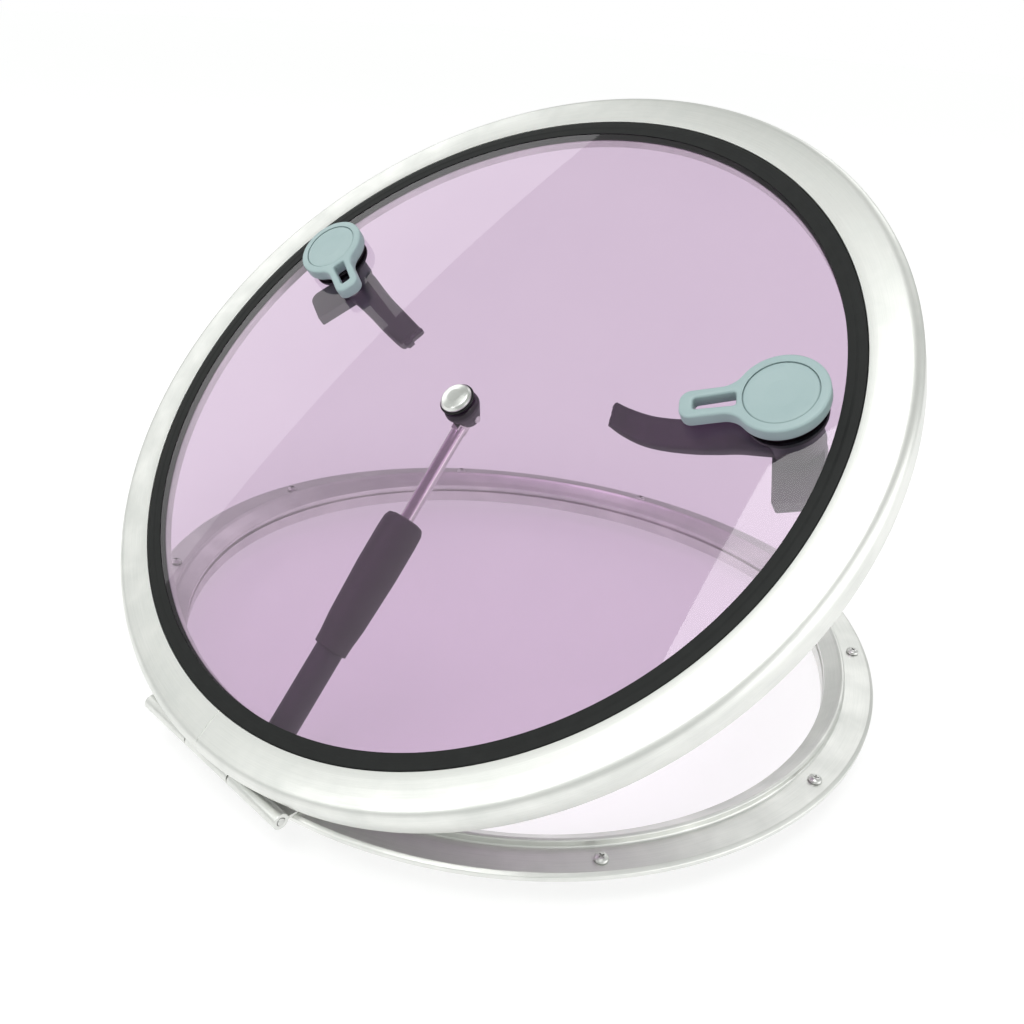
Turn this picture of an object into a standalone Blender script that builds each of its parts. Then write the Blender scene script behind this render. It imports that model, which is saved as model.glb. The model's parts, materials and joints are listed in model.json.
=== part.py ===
"""A round deck hatch: a base ring screwed to the deck, and a glazed lid on a barrel hinge.

A telescopic stay holds the lid open, and two turning handles lock it down. Metres, +Z out of the deck.
The origin is the ring's centre on the deck's surface. The hinge is at -X, its axis parallel to Y.
"""

import math

import bmesh
import bpy
from mathutils import Matrix, Vector

# Base ring: a flange on the deck, a ridge for the seal and a spigot down the cut-out.
CLEAR_RADIUS = 0.2456
RIDGE_WIDTH = 0.0130
RIDGE_HEIGHT = 0.0102
FLANGE_WIDTH = 0.0214
FLANGE_THICKNESS = 0.0048
SPIGOT_DEPTH = 0.0130
SPIGOT_WALL = 0.0045
GROOVE_DEPTH = 0.0028
GROOVE_TOP = -0.0005
GROOVE_BOTTOM = -0.0035
GROOVE_EASE = 0.0004
RIDGE_CREST = 0.0012
RIDGE_EASE = 0.0010
RIDGE_DRAFT = 0.0002
BORE_TOP = 0.0020
FLANGE_FILLET = 0.0009
FLANGE_EDGE_WIDTH = 0.0026
FLANGE_EDGE_DROP = 0.0016
DECK_SCREWS = 10
DECK_SCREW_FROM_EDGE = 0.0112
DECK_SCREW_SHANK = 0.0021
DECK_SCREW_HEAD = 0.0045
DECK_SCREW_HEAD_HEIGHT = 0.0030
DECK_SCREW_REACH = 0.0120
DECK_SCREW_TURN = 7.0

# Lid frame: an extrusion bent to a ring, with a pocket for the pane and a channel for the seal.
LID_TOP = 0.0272
LID_CORNER = 0.0080
LID_WALL = 0.0030
LID_INSET = 0.0004
LID_CROWN = 0.0003
LID_CROWN_FROM_POCKET = 0.0100
LID_EDGE = 0.0008
CHANNEL_LIP_STEP = 0.0004
LEDGE_OVERHANG = 0.0056
LEDGE_WIDTH = 0.0116
LEDGE_THICKNESS = 0.0024
LIP_WALL = 0.0030
LIP_BOTTOM = 0.0062
CHANNEL_WALL = 0.0024
CHANNEL_WIDTH = 0.0089
CHANNEL_TOP = 0.0180
PANE_THICKNESS = 0.0100
PANE_BELOW_TOP = 0.0012
PANE_SEAL_WIDTH = 0.0064
BEDDING_THICKNESS = 0.0014
PANE_EDGE = 0.0006
PANE_SEAL_EASE = 0.0010
PANE_SEAL_PROUD = 0.0002
GASKET_ROUNDING = 0.0022

# Hinge: three knuckles on one pin.
HINGE_INSET = 0.0010
HINGE_HEIGHT = 0.0062
HINGE_LENGTH = 0.1480
LID_KNUCKLE_LENGTH = 0.0480
KNUCKLE_RADIUS = 0.0055
PIN_RADIUS = 0.0026
LEAF_THICKNESS = 0.0022
LEAF_REACH = 0.0170
LID_LEAF_HEIGHT = 0.0100
LEAF_SCREW_SHANK = 0.0015
LEAF_SCREW_HEAD = 0.0030
LEAF_SCREW_HEAD_HEIGHT = 0.0016
LEAF_SCREW_REACH = 0.0040
LEAF_SCREW_FROM_END = 0.0050
LEAF_SCREW_SPREAD = 0.70
LEAF_WEB_OVERLAP = 0.0010
PIN_STICK_OUT = 0.0004

# Handles: one outer lever, one inner lever and one latch dog on each spindle.
HANDLE_FROM_LEDGE = 0.0298
HANDLE_BEARING = 69.7
LEVER_BEARING = 240.0
KNOB_RADIUS = 0.0260
SLOT_CORNER = 0.0012
SLOT_FLARE = 0.0008
DOG_EDGE = 0.0015
LEVER_LENGTH = 0.0560
LEVER_HALF_WIDTH = 0.0095
LEVER_NECK = 0.0140
LEVER_END_CORNER = 0.0070
HANDLE_THICKNESS = 0.0096
HANDLE_ROUNDING = 0.0016
SLOT_START = 0.0240
SLOT_END = 0.0480
SLOT_HALF_WIDTH = 0.0037
CAP_RADIUS = 0.0205
CAP_DEPTH = 0.0016
CAP_DISH = 0.0008
CAP_EDGE = 0.0004
HANDLE_SEAL_RADIUS = 0.0245
HANDLE_SEAL_THICKNESS = 0.0018
SPINDLE_RADIUS = 0.0070
SPINDLE_NECK = 0.0050
SPINDLE_IN_HANDLE = 0.0060
PAD_RADIUS = 0.0230
PAD_THICKNESS = 0.0030
HUB_RADIUS = 0.0160
INNER_LEVER_TURN = 13.0
INNER_LEVER_WIDTH = 0.0220
DOG_TURN = -90.0
DOG_OVERLAP = 0.0044
DOG_HALF_WIDTH = 0.0145
DOG_THICKNESS = 0.0100
DOG_CORNER = 0.0080
END_SCREW_SHANK = 0.0022
END_SCREW_HEAD = 0.0062
END_SCREW_BEVEL = 0.0018
END_SCREW_DOME = 0.0026
END_SCREW_DEPTH = 0.0090

# Stay: a rod that slides in a tube, clamped by a twisting grip.
OPEN_ANGLE = 39.3
CAP_STUD_RADIUS = 0.0038
STAY_CAP_RADIUS = 0.0112
STAY_CAP_HEIGHT = 0.0042
STAY_WASHER_RADIUS = 0.0122
STAY_WASHER_THICKNESS = 0.0016
UPPER_PIVOT_DROP = 0.0110
FORK_TOP_RADIUS = 0.0125
FORK_END_RADIUS = 0.0075
ROD_RADIUS = 0.0048
ROD_SHOWN = 0.0806
ROD_FLAT_LENGTH = 0.0130
ROD_ROUND_FROM = 0.0095
UPPER_PIN_STICK_OUT = 0.0022
STUD_CLEAR_OF_SLOT = 0.0012
FORK_RIM = 0.0020
GRIP_EDGE = 0.0008
TONGUE_SHORT = 0.0020
PLUG_LENGTH = 0.0140
COLLAR_LENGTH = 0.0036
ROD_LENGTH = 0.1650
EYE_RADIUS = 0.0050
EYE_THICKNESS = 0.0060
STAY_PIN_RADIUS = 0.0025
GRIP_LENGTH = 0.0990
GRIP_RADIUS = 0.0145
GRIP_END_RADIUS = 0.0116
TUBE_RADIUS = 0.0096
TUBE_WALL = 0.0021
TUBE_IN_GRIP = 0.0120
TUBE_FROM_PIVOT = 0.0160
BUSH_LENGTH = 0.0200
PISTON_LENGTH = 0.0100
LOWER_PIVOT_INSET = 0.0126
LOWER_PIVOT_DROP = 0.0140
LOWER_EYE_RADIUS = 0.0068
LOWER_EYE_THICKNESS = 0.0080
BRACKET_EAR = 0.0030
BRACKET_HALF_WIDTH = 0.0180
BRACKET_PLATE = 0.0030
BRACKET_TOP = -0.0010
BRACKET_BOTTOM = -0.0240
BRACKET_SCREW_HEAD_HEIGHT = 0.0020
BRACKET_SCREW_SPREAD = 0.75
BRACKET_SCREW_RISE = 0.0095
BRACKET_EAR_OVERLAP = 0.0010
BRACKET_SCREW_SHANK = 0.0018
BRACKET_SCREW_HEAD = 0.0036

# Fits.
SEAT_GAP = 0.0003
RUN_GAP = 0.0003
HOLE_GAP = 0.0004
SIDE_GAP = 0.0006

# How far a cutter runs past what it cuts.
TOOL_REACH = 0.05

# How finely round shapes are drawn.
RING_STEPS = 48
ROUND_STEPS = 20
SMALL_STEPS = 12

# Sizes that follow from those above.
BASE_RADIUS = CLEAR_RADIUS + RIDGE_WIDTH + FLANGE_WIDTH
LID_RADIUS = BASE_RADIUS - LID_INSET
LEDGE_RADIUS = CLEAR_RADIUS - LEDGE_OVERHANG
POCKET_RADIUS = LEDGE_RADIUS + LEDGE_WIDTH
CHANNEL_INNER = POCKET_RADIUS + CHANNEL_WALL
CHANNEL_OUTER = CHANNEL_INNER + CHANNEL_WIDTH
LID_BOTTOM = FLANGE_THICKNESS + SEAT_GAP
PANE_TOP = LID_TOP - PANE_BELOW_TOP
PANE_BOTTOM = PANE_TOP - PANE_THICKNESS
BEDDING_BOTTOM = PANE_BOTTOM - SEAT_GAP - BEDDING_THICKNESS
LEDGE_TOP = BEDDING_BOTTOM - SEAT_GAP
PANE_RADIUS = POCKET_RADIUS - SEAT_GAP - PANE_SEAL_WIDTH - SEAT_GAP
HINGE_X = HINGE_INSET - BASE_RADIUS
HANDLE_CIRCLE = LEDGE_RADIUS - HANDLE_FROM_LEDGE
DOG_TOP = -SPIGOT_DEPTH - 2 * SEAT_GAP
DOG_REACH = CLEAR_RADIUS + DOG_OVERLAP - HANDLE_CIRCLE
UPPER_PIVOT_Z = PANE_BOTTOM - UPPER_PIVOT_DROP
LOWER_PIVOT = Vector((LOWER_PIVOT_INSET - CLEAR_RADIUS, 0, -LOWER_PIVOT_DROP))


# ---------------------------------------------------------------- scene and helpers
for old in list(bpy.data.objects):
    bpy.data.objects.remove(old)

PARTS = bpy.data.collections.new("deck_hatch")
CUTTERS = bpy.data.collections.new("deck_hatch_cutters")
for group in (PARTS, CUTTERS):
    bpy.context.scene.collection.children.link(group)


def linear(value):
    return value / 12.92 if value <= 0.04045 else ((value + 0.055) / 1.055) ** 2.4


def finish_of(name, colour, roughness, metallic=0.0, alpha=1.0):
    material = bpy.data.materials.new(name)
    material.use_nodes = True
    shader = material.node_tree.nodes["Principled BSDF"]
    channels = [linear(int(colour[i : i + 2], 16) / 255) for i in (0, 2, 4)]
    shader.inputs["Base Color"].default_value = (*channels, 1)
    shader.inputs["Roughness"].default_value = roughness
    shader.inputs["Metallic"].default_value = metallic
    shader.inputs["Alpha"].default_value = alpha
    material.diffuse_color = (*channels, alpha)
    return material


def axis_empty(name, parent, matrix):
    """An empty on a joint's axis, placed by matrix in its parent's space."""
    empty = bpy.data.objects.new(name, None)
    empty.empty_display_size = 0.02
    PARTS.objects.link(empty)
    empty.parent = parent
    empty.matrix_basis = matrix
    return empty


def add_object(name, mesh, finish, parent, matrix=None):
    made = bpy.data.objects.new(name, mesh)
    PARTS.objects.link(made)
    if finish is not None:
        mesh.materials.append(finish)
    made.parent = parent
    made.matrix_basis = matrix or Matrix.Identity(4)
    return made


def smooth(mesh, angle=35):
    mesh.shade_smooth()
    mesh.set_sharp_from_angle(angle=math.radians(angle))


def turned(name, profile, finish, parent=None, steps=ROUND_STEPS, ring=False, matrix=None):
    """A turned piece: the profile is (radius, height) down the outside, and a ring's profile closes."""
    mesh = bpy.data.meshes.new(name)
    edges = [(i, i + 1) for i in range(len(profile) - 1)]
    if ring:
        edges.append((len(profile) - 1, 0))
    mesh.from_pydata([(radius, 0, height) for radius, height in profile], edges, [])
    made = add_object(name, mesh, finish, parent, matrix)
    screw = made.modifiers.new("turn", "SCREW")
    screw.steps = steps
    screw.render_steps = steps
    screw.use_merge_vertices = True
    screw.merge_threshold = 0.00001
    screw.use_smooth_shade = True
    return made


def rod_profile(radius, low, high, bore=0.0):
    if bore:
        return [(radius, high), (radius, low), (bore, low), (bore, high)]
    return [(0, high), (radius, high), (radius, low), (0, low)]


def round_bar(name, radius, low, high, finish, parent, steps=ROUND_STEPS, matrix=None, bore=0.0):
    profile = rod_profile(radius, low, high, bore)
    return turned(name, profile, finish, parent, steps, ring=bool(bore), matrix=matrix)


def drill(name, radius, parent, steps=ROUND_STEPS, matrix=None):
    """A cutter that runs right through a piece, on either side of its matrix."""
    return round_bar(name, radius, -TOOL_REACH, TOOL_REACH, None, parent, steps, matrix)


def block(name, low, high, finish, parent, matrix=None):
    """A rectangular piece between two corners."""
    form = bmesh.new()
    bmesh.ops.create_cube(form, size=1)
    middle = (Vector(low) + Vector(high)) / 2
    size = Vector(high) - Vector(low)
    for vertex in form.verts:
        vertex.co = Vector(c * s for c, s in zip(vertex.co, size)) + middle
    mesh = bpy.data.meshes.new(name)
    form.to_mesh(mesh)
    form.free()
    return add_object(name, mesh, finish, parent, matrix)


def plate(name, outlines, low, high, finish, parent, rounding=0.0, matrix=None):
    """A flat piece from closed outlines, the first outside and the others holes, as one welded mesh."""
    curve = bpy.data.curves.new(name, "CURVE")
    curve.dimensions = "2D"
    curve.fill_mode = "BOTH"
    curve.extrude = (high - low) / 2 - rounding
    curve.bevel_depth = rounding
    curve.bevel_resolution = 0
    curve.offset = -rounding
    for points in outlines:
        spline = curve.splines.new("POLY")
        spline.points.add(len(points) - 1)
        for point, (x, y) in zip(spline.points, points):
            point.co = (x, y, 0, 1)
        spline.use_cyclic_u = True
    guide = bpy.data.objects.new(name + "_outline", curve)
    PARTS.objects.link(guide)
    graph = bpy.context.evaluated_depsgraph_get()
    mesh = bpy.data.meshes.new_from_object(guide.evaluated_get(graph))
    bpy.data.objects.remove(guide)
    form = bmesh.new()
    form.from_mesh(mesh)
    bmesh.ops.remove_doubles(form, verts=form.verts, dist=0.00002)
    bmesh.ops.translate(form, verts=form.verts, vec=(0, 0, (high + low) / 2))
    bmesh.ops.recalc_face_normals(form, faces=form.faces)
    form.to_mesh(mesh)
    form.free()
    mesh.name = name
    mesh.materials.clear()
    return add_object(name, mesh, finish, parent, matrix)


def combine(target, tool, operation="DIFFERENCE"):
    """Cuts target with tool, or joins them, and puts the tool with the cutters."""
    PARTS.objects.unlink(tool)
    CUTTERS.objects.link(tool)
    tool.hide_render = True
    tool.display_type = "WIRE"
    modifier = target.modifiers.new(tool.name, "BOOLEAN")
    modifier.operation = operation
    modifier.object = tool
    modifier.solver = "EXACT"


def arc(centre, radius, start, end, count):
    """Points on an arc in degrees, both ends included."""
    angles = [math.radians(start + (end - start) * i / count) for i in range(count + 1)]
    return [(centre[0] + radius * math.cos(a), centre[1] + radius * math.sin(a)) for a in angles]


def flat_inside(radius, half_width):
    """How far from the centre a flat piece of this half width can stand inside a ring of this radius."""
    return math.sqrt((radius * math.cos(math.pi / RING_STEPS)) ** 2 - half_width**2)


def turn_about_x(degrees):
    return Matrix.Rotation(math.radians(degrees), 4, "X")


def turn_about_y(degrees):
    return Matrix.Rotation(math.radians(degrees), 4, "Y")


def turn_about_z(degrees):
    return Matrix.Rotation(math.radians(degrees), 4, "Z")


def at(x, y, z):
    return Matrix.Translation((x, y, z))


# ---------------------------------------------------------------- materials
def own_finish(kind, piece):
    """A material of the kind's colour for one piece."""
    kinds = {
        "anodised": ("D9DBD6", 0.38, 1.0),
        "steel": ("C9CBC8", 0.22, 1.0),
        "acrylic": ("CDB8D0", 0.03, 0.0, 0.45),
        "rubber": ("35393A", 0.60),
        "tape": ("161516", 0.70),
        "blue_plastic": ("B4CBD1", 0.45),
        "grey_plastic": ("57545A", 0.50),
        "nylon": ("E6E4DC", 0.50),
    }
    return finish_of(f"{piece}_{kind}", *kinds[kind])


# ---------------------------------------------------------------- base ring
def base_profile():
    ridge = CLEAR_RADIUS + RIDGE_WIDTH
    crest_inside = ridge - RIDGE_DRAFT - RIDGE_EASE - RIDGE_CREST
    return [
        (ridge - RIDGE_DRAFT - RIDGE_EASE, RIDGE_HEIGHT),
        (ridge - RIDGE_DRAFT, RIDGE_HEIGHT - RIDGE_EASE),
        (ridge, FLANGE_THICKNESS + FLANGE_FILLET),
        (ridge + FLANGE_FILLET, FLANGE_THICKNESS),
        (BASE_RADIUS - FLANGE_EDGE_WIDTH, FLANGE_THICKNESS),
        (BASE_RADIUS, FLANGE_THICKNESS - FLANGE_EDGE_DROP),
        (BASE_RADIUS, 0),
        (CLEAR_RADIUS + SPIGOT_WALL, 0),
        (CLEAR_RADIUS + SPIGOT_WALL, -SPIGOT_DEPTH),
        (CLEAR_RADIUS, -SPIGOT_DEPTH),
        (CLEAR_RADIUS, GROOVE_BOTTOM),
        (CLEAR_RADIUS + GROOVE_DEPTH, GROOVE_BOTTOM + GROOVE_EASE),
        (CLEAR_RADIUS + GROOVE_DEPTH, GROOVE_TOP - GROOVE_EASE),
        (CLEAR_RADIUS, GROOVE_TOP),
        (CLEAR_RADIUS, BORE_TOP),
        (crest_inside - RIDGE_EASE, RIDGE_HEIGHT - RIDGE_EASE),
        (crest_inside, RIDGE_HEIGHT),
    ]


def deck_screw_places():
    radius = BASE_RADIUS - DECK_SCREW_FROM_EDGE
    for number in range(DECK_SCREWS):
        bearing = math.radians(180 + (number + 0.5) * 360 / DECK_SCREWS)
        place = at(radius * math.cos(bearing), radius * math.sin(bearing), 0)
        yield number + 1, place @ turn_about_z(DECK_SCREW_TURN)


def pan_screw_profile(head, height, shank, seat, reach):
    """A domed screw: its head sits on seat, and its shank runs down to -reach."""
    return [
        (0, seat + height),
        (head * 0.55, seat + height * 0.93),
        (head * 0.9, seat + height * 0.6),
        (head, seat),
        (shank, seat),
        (shank, -reach + 2 * shank),
        (0, -reach),
    ]


def make_base():
    finish = own_finish("anodised", "base_frame")
    frame = turned("base_frame", base_profile(), finish, None, RING_STEPS, ring=True)
    bore = DECK_SCREW_SHANK + HOLE_GAP
    seat = FLANGE_THICKNESS + SEAT_GAP
    head = (DECK_SCREW_HEAD, DECK_SCREW_HEAD_HEIGHT)
    profile = pan_screw_profile(*head, DECK_SCREW_SHANK, seat, DECK_SCREW_REACH)
    for number, place in deck_screw_places():
        hole = f"deck_screw_hole_{number}"
        combine(frame, drill(hole, bore, None, SMALL_STEPS, place))
        name = f"deck_screw_{number:02d}"
        turned(name, profile, own_finish("steel", name), None, SMALL_STEPS, matrix=place)
    # The flange stops short of the hinge barrel.
    edge = HINGE_X + KNUCKLE_RADIUS + SIDE_GAP
    half = HINGE_LENGTH / 2 + SIDE_GAP
    corners = (-BASE_RADIUS - TOOL_REACH, -half, -TOOL_REACH), (edge, half, TOOL_REACH)
    relief = block("hinge_relief_base", *corners, None, None)
    combine(frame, relief)
    return frame


# ---------------------------------------------------------------- hinge
def knuckle(name, low, high, finish, parent):
    """A barrel of the hinge between two places along its axis, bored for the pin."""
    lie = at(HINGE_X, 0, HINGE_HEIGHT) @ turn_about_x(-90)
    bore = PIN_RADIUS + RUN_GAP
    return round_bar(name, KNUCKLE_RADIUS, low, high, finish, parent, ROUND_STEPS, lie, bore)


def make_hinge(frame, lid):
    half = HINGE_LENGTH / 2
    middle = LID_KNUCKLE_LENGTH / 2
    leaf_low = HINGE_HEIGHT - LEAF_THICKNESS / 2
    leaf_edge = HINGE_X + KNUCKLE_RADIUS + RUN_GAP
    leaf_end = leaf_edge + LEAF_REACH - KNUCKLE_RADIUS
    leaf = block(
        "hinge_base_leaf",
        (leaf_edge, -half, leaf_low),
        (leaf_end, half, leaf_low + LEAF_THICKNESS),
        own_finish("anodised", "hinge_base_leaf"),
        None,
    )
    for side, name in ((-1, "near"), (1, "far")):
        ends = sorted((side * (middle + SIDE_GAP), side * half))
        combine(leaf, knuckle(f"base_knuckle_{name}", *ends, None, None), "UNION")
        web = block(
            f"base_web_{name}",
            (HINGE_X + PIN_RADIUS + LEAF_WEB_OVERLAP, ends[0], leaf_low),
            (leaf_edge + LEAF_WEB_OVERLAP, ends[1], leaf_low + LEAF_THICKNESS),
            None,
            None,
        )
        combine(leaf, web, "UNION")
    pin = rod_profile(PIN_RADIUS, -half - PIN_STICK_OUT, half + PIN_STICK_OUT)
    lie = at(HINGE_X, 0, HINGE_HEIGHT) @ turn_about_x(-90)
    turned("hinge_pin", pin, own_finish("steel", "hinge_pin"), None, SMALL_STEPS, matrix=lie)
    # The lid's leaf rises inside the lid's rim from the middle knuckle.
    back = SEAT_GAP - flat_inside(LID_RADIUS - LID_WALL, middle)
    lid_leaf = block(
        "hinge_lid_leaf",
        (back, -middle + SIDE_GAP, HINGE_HEIGHT + LEAF_THICKNESS),
        (back + LEAF_THICKNESS, middle - SIDE_GAP, HINGE_HEIGHT + LEAF_THICKNESS + LID_LEAF_HEIGHT),
        own_finish("anodised", "hinge_lid_leaf"),
        lid,
        LID_FRAME,
    )
    barrel = knuckle("lid_knuckle", -middle + SIDE_GAP, middle - SIDE_GAP, None, lid)
    barrel.matrix_basis = LID_FRAME @ barrel.matrix_basis
    combine(lid_leaf, barrel, "UNION")
    base_holes = [(leaf_end - LEAF_SCREW_FROM_END, side * half * LEAF_SCREW_SPREAD) for side in (-1, 1)]
    for number, (x, y) in enumerate(base_holes, 1):
        place = at(x, y, 0)
        for target, tag in ((leaf, "leaf"), (frame, "frame")):
            bore = LEAF_SCREW_SHANK + HOLE_GAP
            combine(target, drill(f"leaf_screw_hole_{tag}_{number}", bore, None, SMALL_STEPS, place))
        seat = leaf_low + LEAF_THICKNESS + SEAT_GAP
        head = (LEAF_SCREW_HEAD, LEAF_SCREW_HEAD_HEIGHT)
        profile = pan_screw_profile(*head, LEAF_SCREW_SHANK, seat, LEAF_SCREW_REACH)
        name = f"hinge_screw_{number}"
        turned(name, profile, own_finish("steel", name), None, SMALL_STEPS, matrix=place)


# ---------------------------------------------------------------- lid
def lid_profile():
    skin = LID_RADIUS - LID_WALL
    corner = (LID_RADIUS - LID_CORNER, LID_TOP - LID_CORNER)
    web = LEDGE_TOP - LEDGE_THICKNESS
    return [
        (POCKET_RADIUS, LID_TOP),
        (POCKET_RADIUS + LID_CROWN_FROM_POCKET, LID_TOP + LID_CROWN),
        *arc(corner, LID_CORNER, 90, 0, 3),
        (LID_RADIUS, LID_BOTTOM + LID_EDGE),
        (LID_RADIUS - LID_EDGE, LID_BOTTOM),
        (skin, LID_BOTTOM),
        (skin, corner[1]),
        (corner[0], LID_TOP - LID_WALL),
        (CHANNEL_OUTER + CHANNEL_WALL, LID_TOP - LID_WALL),
        (CHANNEL_OUTER + CHANNEL_WALL, web - CHANNEL_LIP_STEP),
        (CHANNEL_OUTER, web - CHANNEL_LIP_STEP),
        (CHANNEL_OUTER, CHANNEL_TOP),
        (CHANNEL_INNER, CHANNEL_TOP),
        (CHANNEL_INNER, web),
        (LEDGE_RADIUS + LIP_WALL, web),
        (LEDGE_RADIUS + LIP_WALL, LIP_BOTTOM),
        (LEDGE_RADIUS, LIP_BOTTOM),
        (LEDGE_RADIUS, LEDGE_TOP),
        (POCKET_RADIUS, LEDGE_TOP),
    ]


def make_lid(lid):
    frame = turned(
        "lid_frame", lid_profile(), own_finish("anodised", "lid_frame"), lid, RING_STEPS, True, LID_FRAME
    )
    half = HINGE_LENGTH / 2 + SIDE_GAP
    rim_inside = flat_inside(LID_RADIUS - LID_WALL, half)
    relief = block(
        "hinge_relief_lid",
        (-BASE_RADIUS - TOOL_REACH, -half, -TOOL_REACH),
        (SIDE_GAP - rim_inside, half, HINGE_HEIGHT + KNUCKLE_RADIUS + SIDE_GAP),
        None,
        lid,
        LID_FRAME,
    )
    combine(frame, relief)
    pane = turned(
        "pane",
        [
            (0, PANE_TOP),
            (PANE_RADIUS - PANE_EDGE, PANE_TOP),
            (PANE_RADIUS, PANE_TOP - PANE_EDGE),
            (PANE_RADIUS, PANE_BOTTOM),
            (0, PANE_BOTTOM),
        ],
        own_finish("acrylic", "pane"),
        lid,
        RING_STEPS,
        matrix=LID_FRAME,
    )
    combine(pane, drill("stud_hole", CAP_STUD_RADIUS + HOLE_GAP, lid, matrix=LID_FRAME))
    for side, name in SIDES:
        place = LID_FRAME @ handle_place(side)
        combine(pane, drill(f"spindle_hole_{name}", SPINDLE_RADIUS + HOLE_GAP, lid, matrix=place))
    seal_outer = POCKET_RADIUS - SEAT_GAP
    seal_inner = PANE_RADIUS + SEAT_GAP
    seal = [
        (seal_outer - PANE_SEAL_EASE, LID_TOP - PANE_SEAL_PROUD),
        (seal_outer, LID_TOP - PANE_SEAL_EASE),
        (seal_outer, PANE_BOTTOM),
        (seal_inner, PANE_BOTTOM),
        (seal_inner, PANE_TOP + PANE_SEAL_PROUD),
        (seal_inner + PANE_SEAL_EASE, PANE_TOP + PANE_SEAL_EASE - PANE_SEAL_PROUD),
    ]
    turned("pane_seal", seal, own_finish("rubber", "pane_seal"), lid, RING_STEPS, True, LID_FRAME)
    bedding = [
        (seal_outer, PANE_BOTTOM - SEAT_GAP),
        (seal_outer, BEDDING_BOTTOM),
        (LEDGE_RADIUS + SEAT_GAP, BEDDING_BOTTOM),
        (LEDGE_RADIUS + SEAT_GAP, PANE_BOTTOM - SEAT_GAP),
    ]
    turned("pane_bedding", bedding, own_finish("tape", "pane_bedding"), lid, RING_STEPS, True, LID_FRAME)
    low = RIDGE_HEIGHT + SEAT_GAP
    gasket = [
        (CHANNEL_OUTER - SEAT_GAP, CHANNEL_TOP - SEAT_GAP),
        (CHANNEL_OUTER - SEAT_GAP, low + GASKET_ROUNDING),
        (CHANNEL_OUTER - GASKET_ROUNDING, low),
        (CHANNEL_INNER + GASKET_ROUNDING, low),
        (CHANNEL_INNER + SEAT_GAP, low + GASKET_ROUNDING),
        (CHANNEL_INNER + SEAT_GAP, CHANNEL_TOP - SEAT_GAP),
    ]
    turned("lid_gasket", gasket, own_finish("rubber", "lid_gasket"), lid, RING_STEPS, True, LID_FRAME)


# ---------------------------------------------------------------- handles
def handle_place(side):
    bearing = math.radians(side * HANDLE_BEARING)
    return at(HANDLE_CIRCLE * math.cos(bearing), HANDLE_CIRCLE * math.sin(bearing), 0)


def lever_outline():
    """The outside of a handle: a round knob, a concave neck and a straight lever with rounded corners."""
    reach = KNOB_RADIUS + LEVER_NECK
    neck = (math.sqrt(reach**2 - (LEVER_HALF_WIDTH + LEVER_NECK) ** 2), LEVER_HALF_WIDTH + LEVER_NECK)
    leave = math.degrees(math.atan2(neck[1], neck[0]))
    corner = (LEVER_LENGTH - LEVER_END_CORNER, LEVER_HALF_WIDTH - LEVER_END_CORNER)
    upper = [
        *arc(corner, LEVER_END_CORNER, 0, 90, 4),
        *arc(neck, LEVER_NECK, -90, -180 + leave, 4),
        *arc((0, 0), KNOB_RADIUS, leave, 180, 12)[1:],
    ]
    return upper + [(x, -y) for x, y in reversed(upper[:-1])]


def slot_outline():
    corner = SLOT_CORNER
    wide = SLOT_HALF_WIDTH + SLOT_FLARE
    return [
        (SLOT_START, wide - corner),
        (SLOT_START + corner, wide),
        (SLOT_END - corner, SLOT_HALF_WIDTH),
        (SLOT_END, SLOT_HALF_WIDTH - corner),
        (SLOT_END, corner - SLOT_HALF_WIDTH),
        (SLOT_END - corner, -SLOT_HALF_WIDTH),
        (SLOT_START + corner, -wide),
        (SLOT_START, corner - wide),
    ]


def dog_outline(side):
    """The latch dog: a hub with a square tab, its outer corner well rounded."""
    corner = (DOG_REACH - DOG_CORNER, DOG_HALF_WIDTH - DOG_CORNER)
    points = [
        (DOG_REACH, DOG_EDGE - DOG_HALF_WIDTH),
        *arc(corner, DOG_CORNER, 0, 90, 4),
        (0.0, DOG_HALF_WIDTH),
        *arc((0, 0), DOG_HALF_WIDTH, 120, 240, 6),
        (0.0, -DOG_HALF_WIDTH),
        (DOG_REACH - DOG_EDGE, -DOG_HALF_WIDTH),
    ]
    return [(x, -side * y) for x, y in points]


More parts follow.
